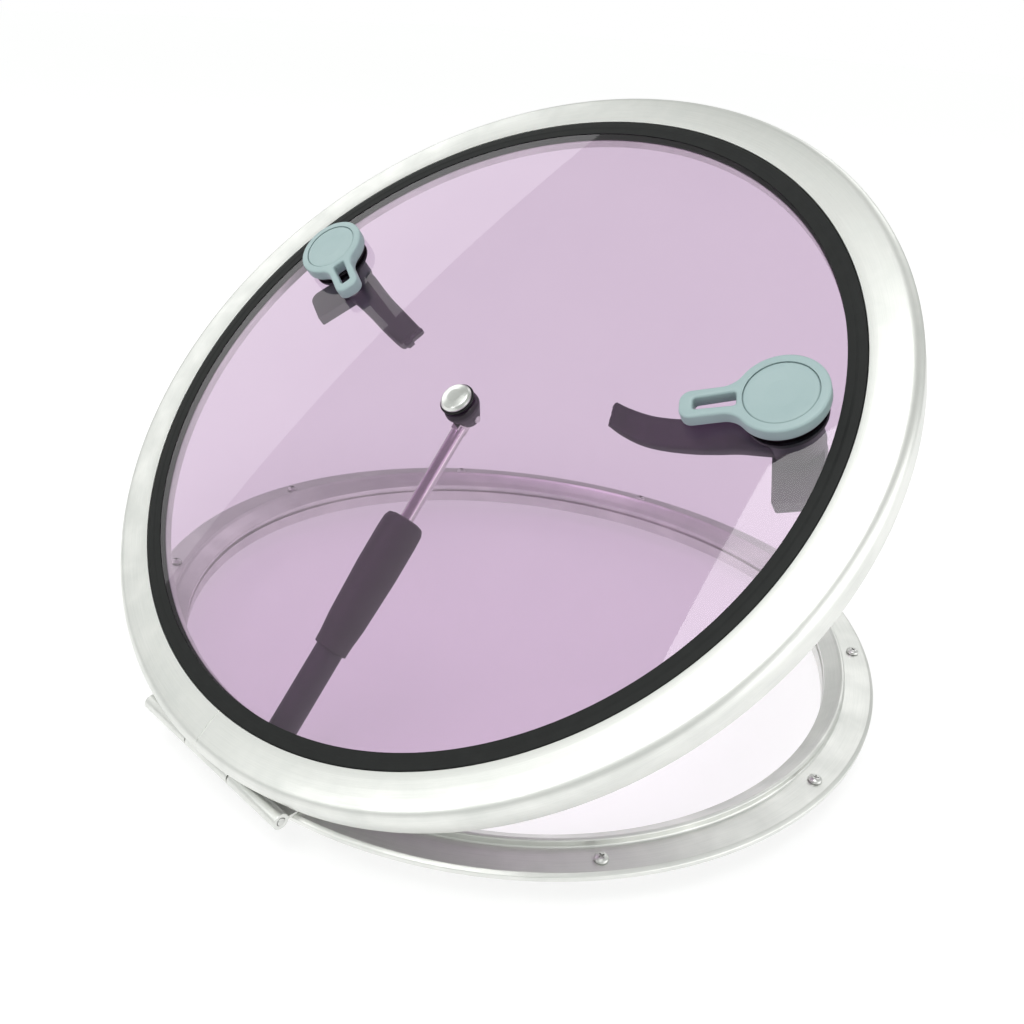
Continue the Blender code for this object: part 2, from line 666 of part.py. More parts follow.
def blade(name, finish, parent):
    """The inner lever's blade, lofted along its S-shaped side view from the hub to its upturned tip."""
    # Each station: distance from the spindle, height of the middle, share of the width, thickness.
    drop = DOG_TOP
    stations = [
        (0.006, drop + 0.0050, 1.20, 0.0090),
        (0.018, drop + 0.0050, 1.20, 0.0090),
        (0.032, drop + 0.0026, 1.08, 0.0088),
        (0.046, drop - 0.0012, 1.00, 0.0086),
        (0.062, drop - 0.0030, 1.00, 0.0082),
        (0.080, drop - 0.0030, 0.97, 0.0074),
        (0.093, drop - 0.0002, 0.93, 0.0060),
        (0.103, drop + 0.0066, 0.86, 0.0046),
        (0.110, drop + 0.0150, 0.78, 0.0030),
    ]
    middles = [Vector((along, 0, height)) for along, height, _, _ in stations]
    form = bmesh.new()
    rings = []
    for index, (_, _, share, thick) in enumerate(stations):
        ahead = middles[min(index + 1, len(middles) - 1)] - middles[max(index - 1, 0)]
        across = Vector((0, 1, 0))
        normal = ahead.normalized().cross(across)
        half = INNER_LEVER_WIDTH * share / 2
        corner = thick * 0.3
        ring = []
        for u, v in (
            (half, thick / 2 - corner),
            (half - corner, thick / 2),
            (corner - half, thick / 2),
            (-half, thick / 2 - corner),
            (-half, corner - thick / 2),
            (corner - half, -thick / 2),
            (half - corner, -thick / 2),
            (half, corner - thick / 2),
        ):
            ring.append(form.verts.new(middles[index] + across * u + normal * v))
        rings.append(ring)
    for first, second in zip(rings, rings[1:]):
        for i in range(8):
            j = (i + 1) % 8
            form.faces.new((first[i], first[j], second[j], second[i]))
    form.faces.new(rings[0])
    form.faces.new(rings[-1])
    bmesh.ops.recalc_face_normals(form, faces=form.faces)
    mesh = bpy.data.meshes.new(name)
    form.to_mesh(mesh)
    form.free()
    return add_object(name, mesh, finish, parent)


def make_handle(side, name, lid):
    fixed = LID_FRAME @ handle_place(side) @ turn_about_z(side * LEVER_BEARING)
    axis = axis_empty(f"handle_{name}_axis", lid, fixed)
    bore = SPINDLE_RADIUS + HOLE_GAP
    seal_low = PANE_TOP + SEAT_GAP
    handle_low = seal_low + HANDLE_SEAL_THICKNESS + SEAT_GAP
    handle_top = handle_low + HANDLE_THICKNESS
    round_bar(
        f"handle_seal_{name}",
        HANDLE_SEAL_RADIUS,
        seal_low,
        seal_low + HANDLE_SEAL_THICKNESS,
        own_finish("rubber", f"handle_seal_{name}"),
        lid,
        ROUND_STEPS,
        fixed,
        bore,
    )
    pad_top = PANE_BOTTOM - SEAT_GAP
    round_bar(
        f"spindle_pad_{name}",
        PAD_RADIUS,
        pad_top - PAD_THICKNESS,
        pad_top,
        own_finish("tape", f"spindle_pad_{name}"),
        lid,
        ROUND_STEPS,
        fixed,
        bore,
    )
    handle = plate(
        f"handle_{name}",
        [lever_outline(), slot_outline()],
        handle_low,
        handle_top,
        own_finish("blue_plastic", f"handle_{name}"),
        axis,
        HANDLE_ROUNDING,
    )
    recess = (CAP_RADIUS + SEAT_GAP, handle_top - CAP_DEPTH, handle_top + TOOL_REACH)
    combine(handle, round_bar(f"cap_recess_{name}", *recess, None, axis))
    socket = handle_low + SPINDLE_IN_HANDLE
    socket_low = handle_low - TOOL_REACH
    combine(handle, round_bar(f"spindle_socket_{name}", bore, socket_low, socket, None, axis))
    cap_floor = handle_top - CAP_DEPTH + SEAT_GAP
    cap = [
        (0, handle_top - CAP_DISH),
        (CAP_RADIUS * 0.6, handle_top - CAP_DISH * 0.75),
        (CAP_RADIUS * 0.9, handle_top - CAP_DISH * 0.12),
        (CAP_RADIUS, handle_top - CAP_EDGE),
        (CAP_RADIUS, cap_floor),
        (0, cap_floor),
    ]
    turned(f"handle_cap_{name}", cap, own_finish("blue_plastic", f"handle_cap_{name}"), axis)
    dog_low = DOG_TOP - DOG_THICKNESS
    spindle = [
        (0, socket - SEAT_GAP),
        (SPINDLE_RADIUS, socket - SEAT_GAP),
        (SPINDLE_RADIUS, DOG_TOP + SEAT_GAP),
        (SPINDLE_NECK, DOG_TOP + SEAT_GAP),
        (SPINDLE_NECK, dog_low + SEAT_GAP),
        (END_SCREW_SHANK + SEAT_GAP, dog_low + SEAT_GAP),
        (END_SCREW_SHANK + SEAT_GAP, dog_low + END_SCREW_DEPTH),
        (0, dog_low + END_SCREW_DEPTH),
    ]
    turned(f"spindle_{name}", spindle, own_finish("steel", f"spindle_{name}"), axis)
    hub_top = pad_top - PAD_THICKNESS - SEAT_GAP
    lever = blade(f"inner_lever_{name}", own_finish("grey_plastic", f"inner_lever_{name}"), axis)
    lever.matrix_basis = turn_about_z(side * INNER_LEVER_TURN)
    hub = round_bar(f"inner_hub_{name}", HUB_RADIUS, DOG_TOP + SEAT_GAP, hub_top, None, axis)
    combine(lever, hub, "UNION")
    combine(lever, drill(f"hub_bore_{name}", bore, axis))
    dog = plate(
        f"latch_dog_{name}",
        [dog_outline(side)],
        dog_low,
        DOG_TOP,
        own_finish("grey_plastic", f"latch_dog_{name}"),
        axis,
        0.0,
        turn_about_z(side * DOG_TURN),
    )
    combine(dog, drill(f"dog_bore_{name}", SPINDLE_NECK + SEAT_GAP, axis))
    head = dog_low - SEAT_GAP
    end_screw = [
        (0, dog_low + END_SCREW_DEPTH - SEAT_GAP),
        (END_SCREW_SHANK, dog_low + END_SCREW_DEPTH - SEAT_GAP),
        (END_SCREW_SHANK, head),
        (END_SCREW_HEAD, head),
        (END_SCREW_HEAD * 0.9, head - END_SCREW_BEVEL),
        (0, head - END_SCREW_DOME),
    ]
    finish = own_finish("steel", f"spindle_screw_{name}")
    turned(f"spindle_screw_{name}", end_screw, finish, axis, SMALL_STEPS)


# ---------------------------------------------------------------- stay
def make_stay(frame, lid):
    upper = LID_WORLD @ Vector((0, 0, UPPER_PIVOT_Z))
    along = LOWER_PIVOT - upper
    length = along.length
    # The stay's own frame: +Z from the lower pivot to the upper one, Y along both pivots.
    lean = math.degrees(math.atan2(-along.x, -along.z))
    lying = lid.matrix_basis.inverted() @ Matrix.Translation(upper) @ turn_about_y(lean)
    rod_axis = axis_empty("stay_rod_axis", lid, lying)
    tube_axis = axis_empty("stay_tube_axis", rod_axis, Matrix.Translation((0, 0, -length)))

    stud = CAP_STUD_RADIUS
    washer_low = PANE_TOP + SEAT_GAP
    cap_low = washer_low + STAY_WASHER_THICKNESS + SEAT_GAP
    fork_top = PANE_BOTTOM - SEAT_GAP
    slot_top = UPPER_PIVOT_Z + EYE_RADIUS + RUN_GAP
    stud_end = slot_top + STUD_CLEAR_OF_SLOT
    cap = [
        (0, cap_low + STAY_CAP_HEIGHT),
        (STAY_CAP_RADIUS * 0.6, cap_low + STAY_CAP_HEIGHT * 0.9),
        (STAY_CAP_RADIUS * 0.93, cap_low + STAY_CAP_HEIGHT * 0.62),
        (STAY_CAP_RADIUS, cap_low + STAY_CAP_HEIGHT * 0.35),
        (STAY_CAP_RADIUS, cap_low),
        (stud, cap_low),
        (stud, stud_end),
        (0, stud_end),
    ]
    turned("stay_cap", cap, own_finish("steel", "stay_cap"), lid, ROUND_STEPS, matrix=LID_FRAME)
    round_bar(
        "stay_washer",
        STAY_WASHER_RADIUS,
        washer_low,
        washer_low + STAY_WASHER_THICKNESS,
        own_finish("rubber", "stay_washer"),
        lid,
        ROUND_STEPS,
        LID_FRAME,
        stud + HOLE_GAP,
    )
    fork_profile = [
        (0, fork_top),
        (FORK_TOP_RADIUS, fork_top),
        (FORK_TOP_RADIUS, fork_top - FORK_RIM),
        (FORK_END_RADIUS + FORK_RIM, UPPER_PIVOT_Z + FORK_END_RADIUS * 0.2),
        (FORK_END_RADIUS, UPPER_PIVOT_Z - FORK_END_RADIUS * 0.47),
        (FORK_END_RADIUS * 0.7, UPPER_PIVOT_Z - FORK_END_RADIUS * 0.85),
        (0, UPPER_PIVOT_Z - FORK_END_RADIUS),
    ]
    finish = own_finish("grey_plastic", "stay_fork")
    fork = turned("stay_fork", fork_profile, finish, lid, matrix=LID_FRAME)
    slot_half = EYE_THICKNESS / 2 + RUN_GAP
    slot = (-TOOL_REACH, -slot_half, -TOOL_REACH), (TOOL_REACH, slot_half, slot_top)
    combine(fork, block("fork_slot", *slot, None, lid, LID_FRAME))
    well = (stud + RUN_GAP, stud_end - SEAT_GAP, TOOL_REACH)
    combine(fork, round_bar("fork_stud_bore", *well, None, lid, matrix=LID_FRAME))
    across = LID_FRAME @ at(0, 0, UPPER_PIVOT_Z) @ turn_about_x(90)
    pin_bore = STAY_PIN_RADIUS + RUN_GAP
    combine(fork, drill("fork_pin_bore", pin_bore, lid, SMALL_STEPS, across))
    pin_half = FORK_END_RADIUS + UPPER_PIN_STICK_OUT
    round_bar(
        "stay_upper_pin",
        STAY_PIN_RADIUS,
        -pin_half,
        pin_half,
        own_finish("steel", "stay_upper_pin"),
        lid,
        SMALL_STEPS,
        across,
    )

    # The rod ends in a flat eye above and a piston below, inside the tube.
    tube_bore = TUBE_RADIUS - TUBE_WALL
    rod_end = -ROD_LENGTH
    rod = block(
        "stay_rod",
        (-EYE_RADIUS, -EYE_THICKNESS / 2, -ROD_FLAT_LENGTH),
        (EYE_RADIUS, EYE_THICKNESS / 2, 0),
        own_finish("steel", "stay_rod"),
        rod_axis,
    )
    turn = turn_about_x(90)
    eye_half = EYE_THICKNESS / 2
    eye = round_bar("rod_eye", EYE_RADIUS, -eye_half, eye_half, None, rod_axis, matrix=turn)
    combine(rod, eye, "UNION")
    combine(rod, round_bar("rod_bar", ROD_RADIUS, rod_end, -ROD_ROUND_FROM, None, rod_axis), "UNION")
    combine(rod, drill("rod_eye_bore", pin_bore, rod_axis, SMALL_STEPS, turn))
    piston_radius = tube_bore - RUN_GAP
    piston_low = rod_end - SEAT_GAP - PISTON_LENGTH
    round_bar(
        "stay_piston",
        piston_radius,
        piston_low,
        piston_low + PISTON_LENGTH,
        own_finish("nylon", "stay_piston"),
        rod_axis,
        ROUND_STEPS,
    )

    # The tube, with its guide bush, grip and lower eye, rides up and down the rod.
    tube_top = length - ROD_SHOWN - TUBE_IN_GRIP
    grip_top = length - ROD_SHOWN
    rod_bore = ROD_RADIUS + RUN_GAP
    round_bar(
        "stay_tube",
        TUBE_RADIUS,
        TUBE_FROM_PIVOT,
        tube_top,
        own_finish("grey_plastic", "stay_tube"),
        tube_axis,
        ROUND_STEPS,
        bore=tube_bore,
    )
    round_bar(
        "stay_guide_bush",
        tube_bore - SEAT_GAP,
        tube_top - BUSH_LENGTH,
        tube_top,
        own_finish("nylon", "stay_guide_bush"),
        tube_axis,
        ROUND_STEPS,
        bore=rod_bore,
    )
    sleeve = TUBE_RADIUS + SEAT_GAP
    grip_low = grip_top - GRIP_LENGTH
    grip = [
        (GRIP_RADIUS * 0.62, grip_top),
        (GRIP_RADIUS * 0.86, grip_top - GRIP_LENGTH * 0.02),
        (GRIP_RADIUS * 0.97, grip_top - GRIP_LENGTH * 0.06),
        (GRIP_RADIUS, grip_top - GRIP_LENGTH * 0.14),
        (GRIP_RADIUS, grip_top - GRIP_LENGTH * 0.40),
        (GRIP_END_RADIUS * 1.1, grip_top - GRIP_LENGTH * 0.81),
        (GRIP_END_RADIUS, grip_low + GRIP_EDGE),
        (GRIP_END_RADIUS - GRIP_EDGE, grip_low),
        (sleeve, grip_low),
        (sleeve, tube_top + SEAT_GAP),
        (rod_bore, tube_top + SEAT_GAP),
        (rod_bore, grip_top),
    ]
    turned("stay_grip", grip, own_finish("rubber", "stay_grip"), tube_axis, ROUND_STEPS, ring=True)
    eye = round_bar(
        "stay_lower_eye",
        LOWER_EYE_RADIUS,
        -LOWER_EYE_THICKNESS / 2,
        LOWER_EYE_THICKNESS / 2,
        own_finish("grey_plastic", "stay_lower_eye"),
        tube_axis,
        ROUND_STEPS,
        turn,
    )
    tongue = block(
        "lower_tongue",
        (-LOWER_EYE_RADIUS, -LOWER_EYE_THICKNESS / 2, 0),
        (LOWER_EYE_RADIUS, LOWER_EYE_THICKNESS / 2, TUBE_FROM_PIVOT - TONGUE_SHORT),
        None,
        tube_axis,
    )
    combine(eye, tongue, "UNION")
    collar_top = TUBE_FROM_PIVOT - SEAT_GAP
    plug = [
        (0, TUBE_FROM_PIVOT + PLUG_LENGTH),
        (tube_bore - SEAT_GAP, TUBE_FROM_PIVOT + PLUG_LENGTH),
        (tube_bore - SEAT_GAP, collar_top),
        (TUBE_RADIUS, collar_top),
        (TUBE_RADIUS, collar_top - COLLAR_LENGTH),
        (0, collar_top - COLLAR_LENGTH),
    ]
    combine(eye, turned("lower_plug", plug, None, tube_axis), "UNION")
    combine(eye, drill("lower_eye_bore", pin_bore, tube_axis, SMALL_STEPS, turn))
    ear_inside = LOWER_EYE_THICKNESS / 2 + SIDE_GAP
    round_bar(
        "stay_lower_pin",
        STAY_PIN_RADIUS,
        RUN_GAP - ear_inside,
        ear_inside - RUN_GAP,
        own_finish("steel", "stay_lower_pin"),
        tube_axis,
        SMALL_STEPS,
        turn,
    )
    make_bracket(frame, ear_inside)


def make_bracket(frame, ear_inside):
    """The bracket of the stay's foot, screwed to the inside of the spigot below the hinge."""
    back = SEAT_GAP - flat_inside(CLEAR_RADIUS, BRACKET_HALF_WIDTH)
    front = back + BRACKET_PLATE
    bracket = block(
        "stay_bracket",
        (back, -BRACKET_HALF_WIDTH, BRACKET_BOTTOM),
        (front, BRACKET_HALF_WIDTH, BRACKET_TOP),
        own_finish("steel", "stay_bracket"),
        None,
    )
    pivot = Matrix.Translation(LOWER_PIVOT) @ turn_about_x(90)
    for side, name in ((-1, "near"), (1, "far")):
        ends = sorted((side * ear_inside, side * (ear_inside + BRACKET_EAR)))
        nose = round_bar(f"ear_nose_{name}", LOWER_EYE_RADIUS, *ends, None, None, ROUND_STEPS, pivot)
        cheek = block(
            f"ear_cheek_{name}",
            (front - BRACKET_EAR_OVERLAP, -ends[1], LOWER_PIVOT.z - LOWER_EYE_RADIUS),
            (LOWER_PIVOT.x, -ends[0], LOWER_PIVOT.z + LOWER_EYE_RADIUS),
            None,
            None,
        )
        combine(bracket, nose, "UNION")
        combine(bracket, cheek, "UNION")
    for side, number in ((-1, 1), (1, 2)):
        across = side * BRACKET_HALF_WIDTH * BRACKET_SCREW_SPREAD
        place = at(0, across, LOWER_PIVOT.z + BRACKET_SCREW_RISE) @ turn_about_y(90)
        bore = (BRACKET_SCREW_SHANK + HOLE_GAP, back - TOOL_REACH, front + TOOL_REACH)
        for target, tag in ((bracket, "plate"), (frame, "wall")):
            name = f"bracket_hole_{tag}_{number}"
            combine(target, round_bar(name, *bore, None, None, SMALL_STEPS, place))
        seat = front + SEAT_GAP
        screw = [
            (0, seat + BRACKET_SCREW_HEAD_HEIGHT),
            (BRACKET_SCREW_HEAD * 0.8, seat + BRACKET_SCREW_HEAD_HEIGHT * 0.75),
            (BRACKET_SCREW_HEAD, seat),
            (BRACKET_SCREW_SHANK, seat),
            (BRACKET_SCREW_SHANK, back - SPIGOT_WALL),
            (0, back - SPIGOT_WALL),
        ]
        name = f"bracket_screw_{number}"
        turned(name, screw, own_finish("steel", name), None, SMALL_STEPS, matrix=place)


# ---------------------------------------------------------------- assembly
# The lid turns about the hinge's axis. LID_FRAME puts a piece drawn for the closed lid under that axis.
LID_FRAME = at(-HINGE_X, 0, -HINGE_HEIGHT)
LID_AXIS = at(HINGE_X, 0, HINGE_HEIGHT) @ turn_about_y(-OPEN_ANGLE)
LID_WORLD = LID_AXIS @ LID_FRAME
SIDES = ((-1, "right"), (1, "left"))

base = make_base()
lid_axis = axis_empty("lid_axis", None, LID_AXIS)
make_hinge(base, lid_axis)
make_lid(lid_axis)
for lid_side, side_name in SIDES:
    make_handle(lid_side, side_name, lid_axis)
make_stay(base, lid_axis)
bpy.context.view_layer.update()
for part in PARTS.objects:
    if part.type == "MESH":
        smooth(part.data)
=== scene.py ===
import json
import math

import bmesh
import bpy
from mathutils import Matrix, Vector


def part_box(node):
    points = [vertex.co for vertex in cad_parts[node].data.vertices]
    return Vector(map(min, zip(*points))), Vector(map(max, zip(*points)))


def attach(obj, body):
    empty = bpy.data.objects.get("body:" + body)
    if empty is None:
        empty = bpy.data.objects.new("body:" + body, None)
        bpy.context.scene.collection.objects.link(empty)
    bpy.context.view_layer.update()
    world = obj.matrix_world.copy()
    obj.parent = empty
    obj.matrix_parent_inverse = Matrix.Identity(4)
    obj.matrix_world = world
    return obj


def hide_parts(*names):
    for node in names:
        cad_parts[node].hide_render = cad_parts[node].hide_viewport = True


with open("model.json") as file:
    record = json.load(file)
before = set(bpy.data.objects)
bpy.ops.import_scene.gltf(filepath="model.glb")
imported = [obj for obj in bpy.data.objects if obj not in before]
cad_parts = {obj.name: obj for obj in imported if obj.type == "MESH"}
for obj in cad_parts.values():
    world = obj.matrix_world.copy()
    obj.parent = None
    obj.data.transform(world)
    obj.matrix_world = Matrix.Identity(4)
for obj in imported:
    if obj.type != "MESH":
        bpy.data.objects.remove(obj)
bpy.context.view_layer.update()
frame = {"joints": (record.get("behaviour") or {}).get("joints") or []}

# A round deck hatch stands with its lid held half open. Pieces are drawn in millimetres about the base
# ring's centre, the lid's pieces as they lie when it is shut, and then turned open about the hinge.
MM = 0.001


# ---------------------------------------------------------------- the studio
# A seamless white floor among five white softboxes. The side one shows in the glazing as its bright upper
# left, and the overhead one as its bright lower right. The camera sees none of them directly.
def linear(value):
    return value / 12.92 if value <= 0.04045 else ((value + 0.055) / 1.055) ** 2.4


def colour(code):
    """An sRGB hex value as the linear colour that a shader takes."""
    return tuple(linear(int(code[i : i + 2], 16) / 255) for i in (0, 2, 4)) + (1.0,)


def new_material(name, fixed=None):
    """A Principled material with its fixed values, and its node tree and shader."""
    material = bpy.data.materials.new(name)
    material.use_nodes = True
    shader = material.node_tree.nodes["Principled BSDF"]
    for socket, value in (fixed or {}).items():
        shader.inputs[socket].default_value = value
    return material, material.node_tree, shader


def add(tree, kind, inputs=None, **settings):
    """Adds a node with its settings. Each input is a value, or a socket to link from."""
    node = tree.nodes.new("ShaderNode" + kind)
    for name, value in settings.items():
        setattr(node, name, value)
    for name, value in (inputs or {}).items():
        if isinstance(value, bpy.types.NodeSocket):
            tree.links.new(value, node.inputs[name])
        else:
            node.inputs[name].default_value = value
    return node


def sheet_mesh(name, corners):
    """A flat sheet through these corners, in metres."""
    mesh = bpy.data.meshes.new(name)
    mesh.from_pydata(corners, [], [tuple(range(len(corners)))])
    made = bpy.data.objects.new(name, mesh)
    bpy.context.scene.collection.objects.link(made)
    return made


scene = bpy.context.scene
scene.view_settings.view_transform = "Standard"

camera = bpy.data.objects.new("camera", bpy.data.cameras.new("camera"))
scene.collection.objects.link(camera)
scene.camera = camera
camera.location = (-0.5122, -0.4256, 0.4313)
camera.rotation_euler = [math.radians(turn) for turn in (59.379, -3.165, -44.452)]
camera.data.lens = 34.14
camera.data.shift_x = 0.054
camera.data.shift_y = 0.0527
camera.data.clip_start = 0.01

FLOOR_DROP = 0.0265
FLOOR_REACH = 12.0
floor = sheet_mesh(
    "floor", [(x, y, -FLOOR_DROP) for x, y in ((-1, -1), (1, -1), (1, 1), (-1, 1))]
)
floor.scale = (FLOOR_REACH, FLOOR_REACH, 1)
# The floor is translucent white acrylic lit from below, more so away from the hatch, so its edges burn out
# to white and only a faint shadow shows under the ring.
floor_paper, tree, shader = new_material("lit_white_acrylic_floor", {"Roughness": 0.9})
grain = add(tree, "TexNoise", {"Scale": 4.0, "Detail": 3.0})
tone = add(tree, "Mix", {"A": colour("A4A4A4"), "B": colour("A8A8A8"), "Factor": grain.outputs["Fac"]},
           data_type="RGBA")
tree.links.new(tone.outputs["Result"], shader.inputs["Base Color"])
place = add(tree, "NewGeometry")
away = add(tree, "VectorMath", {"Vector": place.outputs["Position"]}, operation="LENGTH")
glow = add(tree, "MapRange", {"Value": away.outputs["Value"], "From Min": 0.35, "From Max": 1.4,
                              "To Min": 0.66, "To Max": 0.74})
tree.links.new(glow.outputs["Result"], shader.inputs["Emission Strength"])
shader.inputs["Emission Color"].default_value = colour("FFFFFF")
floor.data.materials.append(floor_paper)


def softbox(name, corners, strength):
    """A glowing sheet that lights the scene and shows in reflections, but not to the camera."""
    card = sheet_mesh(name, corners)
    material = bpy.data.materials.new(name + "_glow")
    material.use_nodes = True
    material.node_tree.nodes.clear()
    glow = add(material.node_tree, "Emission", {"Strength": strength})
    end = add(material.node_tree, "OutputMaterial")
    material.node_tree.links.new(glow.outputs["Emission"], end.inputs["Surface"])
    card.data.materials.append(material)
    card.visible_camera = False
    return card


softbox("overhead_softbox",
        [(-1.60, 0.42, 2.0), (-0.46, 0.335, 2.0), (-0.25, 0.185, 2.0), (-0.12, 0.09, 2.0),
         (-0.12, -0.8, 2.0), (-1.60, -0.8, 2.0)], 5.0)
softbox("right_softbox",
        [(2.4, -0.5, 1.2), (2.4, 0.8, 1.2), (2.1, 0.8, 2.4), (2.1, -0.5, 2.4)], 1.7)
softbox("left_softbox",
        [(-1.66, 0.25, 0.95), (-1.66, 0.85, 0.95), (-2.0, 0.85, 1.55), (-2.0, 0.25, 1.55)], 10.0)
softbox("side_softbox",
        [(-1.40, 1.5, 0.37), (0.0, 1.5, 0.75), (0.75, 1.5, 1.25), (0.75, 1.5, 2.37), (0.346, 1.5, 1.995),
         (-0.852, 1.5, 0.882)], 1.8)
softbox("front_softbox",
        [(-0.6, -2.0, 0.05), (1.8, -2.0, 0.05), (1.8, -2.0, 1.3), (-0.6, -2.0, 1.3)], 2.2)

world = bpy.data.worlds.new("studio")
world.use_nodes = True
scene.world = world
tree = world.node_tree
sky = tree.nodes["Background"]
direction = add(tree, "TexCoord")
height = add(tree, "SeparateXYZ", {"Vector": direction.outputs["Generated"]})
shade = add(tree, "ValToRGB", {"Fac": height.outputs["Z"]})
shade.color_ramp.elements[0].position = 0.0
shade.color_ramp.elements[0].color = colour("A6A9A7")
shade.color_ramp.elements[1].position = 0.42
shade.color_ramp.elements[1].color = colour("DEE0DE")
zenith = shade.color_ramp.elements.new(0.85)
zenith.color = colour("BEC0BE")
seen = add(tree, "LightPath")
view_white = add(tree, "Mix", {"Factor": seen.outputs["Is Camera Ray"], "A": shade.outputs["Color"],
                               "B": (1.0, 1.0, 1.0, 1.0)}, data_type="RGBA")
tree.links.new(view_white.outputs["Result"], sky.inputs["Color"])
sky.inputs["Strength"].default_value = 1.0


# ---------------------------------------------------------------- base ring
# An aluminium extrusion rolled to a ring and welded: a flange that lies on the deck, a ridge that the lid's
# seal closes on, and a spigot down the cut-out. Clear anodised satin, with the drawing lines running round.
def rounded(corners, facets=4):
    """Closed outline of (radius, height, fillet) corners, each corner eased by its fillet."""
    outline = []
    for index, (across, up, fillet) in enumerate(corners):
        here = Vector((across, up))
        before = Vector(corners[index - 1][:2]) - here
        after = Vector(corners[(index + 1) % len(corners)][:2]) - here
        if not fillet:
            outline.append(here)
            continue
        half = before.angle(after) / 2
        reach = min(fillet / math.tan(half), before.length * 0.48, after.length * 0.48)
        start = before.normalized() * reach
        end = after.normalized() * reach
        for step in range(facets + 1):
            t = step / facets
            outline.append(here + start * (1 - t) ** 2 + end * t**2)
    return outline


def mesh_object(name, form, angle=32):
    """The bmesh as a new smooth shaded object, its edges sharp above the angle."""
    bmesh.ops.remove_doubles(form, verts=form.verts, dist=0.000002)
    bmesh.ops.recalc_face_normals(form, faces=form.faces)
    mesh = bpy.data.meshes.new(name)
    form.to_mesh(mesh)
    form.free()
    mesh.shade_smooth()
    mesh.set_sharp_from_angle(angle=math.radians(angle))
    made = bpy.data.objects.new(name, mesh)
    scene.collection.objects.link(made)
    return made


def turned(name, outline, steps=64, bearings=None, dent=None, angle=32):
    """Spins a closed outline about Z. dent moves a point at a bearing, as where a seam runs."""
    bearings = bearings or [360 * step / steps for step in range(steps)]
    form = bmesh.new()
    rings = []
    for bearing in bearings:
        turn = math.radians(bearing)
        ring = []
        for across, up in outline:
            if dent:
                across, up = dent(bearing, across, up)
            ring.append(form.verts.new((across * math.cos(turn) * MM, across * math.sin(turn) * MM, up * MM)))
        rings.append(ring)
    count = len(outline)
    for index, ring in enumerate(rings):
        following = rings[(index + 1) % len(rings)]
        for i in range(count):
            j = (i + 1) % count
            on_axis = [outline[k][0] < 1e-6 for k in (i, j)]
            if all(on_axis):
                continue
            if on_axis[0]:
                form.faces.new((ring[i], ring[j], following[j]))
            elif on_axis[1]:
                form.faces.new((ring[i], ring[j], following[i]))
            else:
                form.faces.new((ring[i], ring[j], following[j], following[i]))
    return mesh_object(name, form, angle)


def bar(radius, low, high, ease=0.0, bore=0.0, bore_ease=0.0):
    """Outline of a plain round bar or tube between two heights."""
    if bore:
        return rounded([(radius, high, ease), (radius, low, ease),
                        (bore, low, bore_ease), (bore, high, bore_ease)])
    return rounded([(0, high, 0), (radius, high, ease), (radius, low, ease), (0, low, 0)])


def block(name, low, high, ease=0.0, segments=2):
    """A rectangular bar between two corners in mm, its edges eased."""
    form = bmesh.new()
    bmesh.ops.create_cube(form, size=1)
    for vertex in form.verts:
        vertex.co = Vector(
            [((a + b) / 2 + c * (b - a)) * MM for a, b, c in zip(low, high, vertex.co)]
        )
    if ease:
        bmesh.ops.bevel(form, geom=form.edges[:], offset=ease * MM, segments=segments, profile=0.5,
                        affect="EDGES")
    return mesh_object(name, form)


def shape_with(piece, tool, operation="DIFFERENCE"):
    """Cuts the piece with the tool, or joins them, and clears the tool away."""
    modifier = piece.modifiers.new(operation.lower(), "BOOLEAN")
    modifier.object = tool
    modifier.operation = operation
    modifier.solver = "EXACT"
    bpy.context.view_layer.update()
    mesh = bpy.data.meshes.new_from_object(piece.evaluated_get(bpy.context.evaluated_depsgraph_get()))
    piece.modifiers.clear()
    piece.data = mesh
    mesh.set_sharp_from_angle(angle=math.radians(32))
    bpy.data.objects.remove(tool)


def ease_edges(piece, width, segments=2, angle=40):
    """Breaks the sharp edges of a cut piece by a small width in mm."""
    bevel = piece.modifiers.new("eased", "BEVEL")
    bevel.width = width * MM
    bevel.segments = segments
    bevel.limit_method = "ANGLE"
    bevel.angle_limit = math.radians(angle)
    bevel.harden_normals = True
    bevel.use_clamp_overlap = True


def fit(piece, finish, body, slot, *nodes, where=None):
    """Puts a finished piece in its place, on the body that carries it, for the CAD nodes it stands for.

    The piece keeps where each point was when it was drawn, for the grain of its material.
    """
    graph = bpy.context.evaluated_depsgraph_get()
    piece.data = bpy.data.meshes.new_from_object(piece.evaluated_get(graph))
    piece.modifiers.clear()
    drawn = piece.data.attributes.new("drawn_at", "FLOAT_VECTOR", "POINT")
    for point, vertex in zip(drawn.data, piece.data.vertices):
        point.vector = vertex.co
    piece.data.transform(where or Matrix.Identity(4))
    piece.data.materials.clear()
    piece.data.materials.append(finish)
    for polygon in piece.data.polygons:
        polygon.material_index = 0
    bpy.context.view_layer.update()
    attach(piece, body)
    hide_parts(*nodes)
    return piece


def at(x=0.0, y=0.0, z=0.0):
    return Matrix.Translation((x * MM, y * MM, z * MM))


def turn_about(axis, degrees):
    return Matrix.Rotation(math.radians(degrees), 4, axis)


def drawn_place(tree):
    """Where a point was when its piece was drawn, which moves with the piece."""
    return add(tree, "Attribute", attribute_name="drawn_at").outputs["Vector"]


def per_mm(size):
    """The texture scale that repeats once in this many millimetres."""
    return 1 / (size * MM)


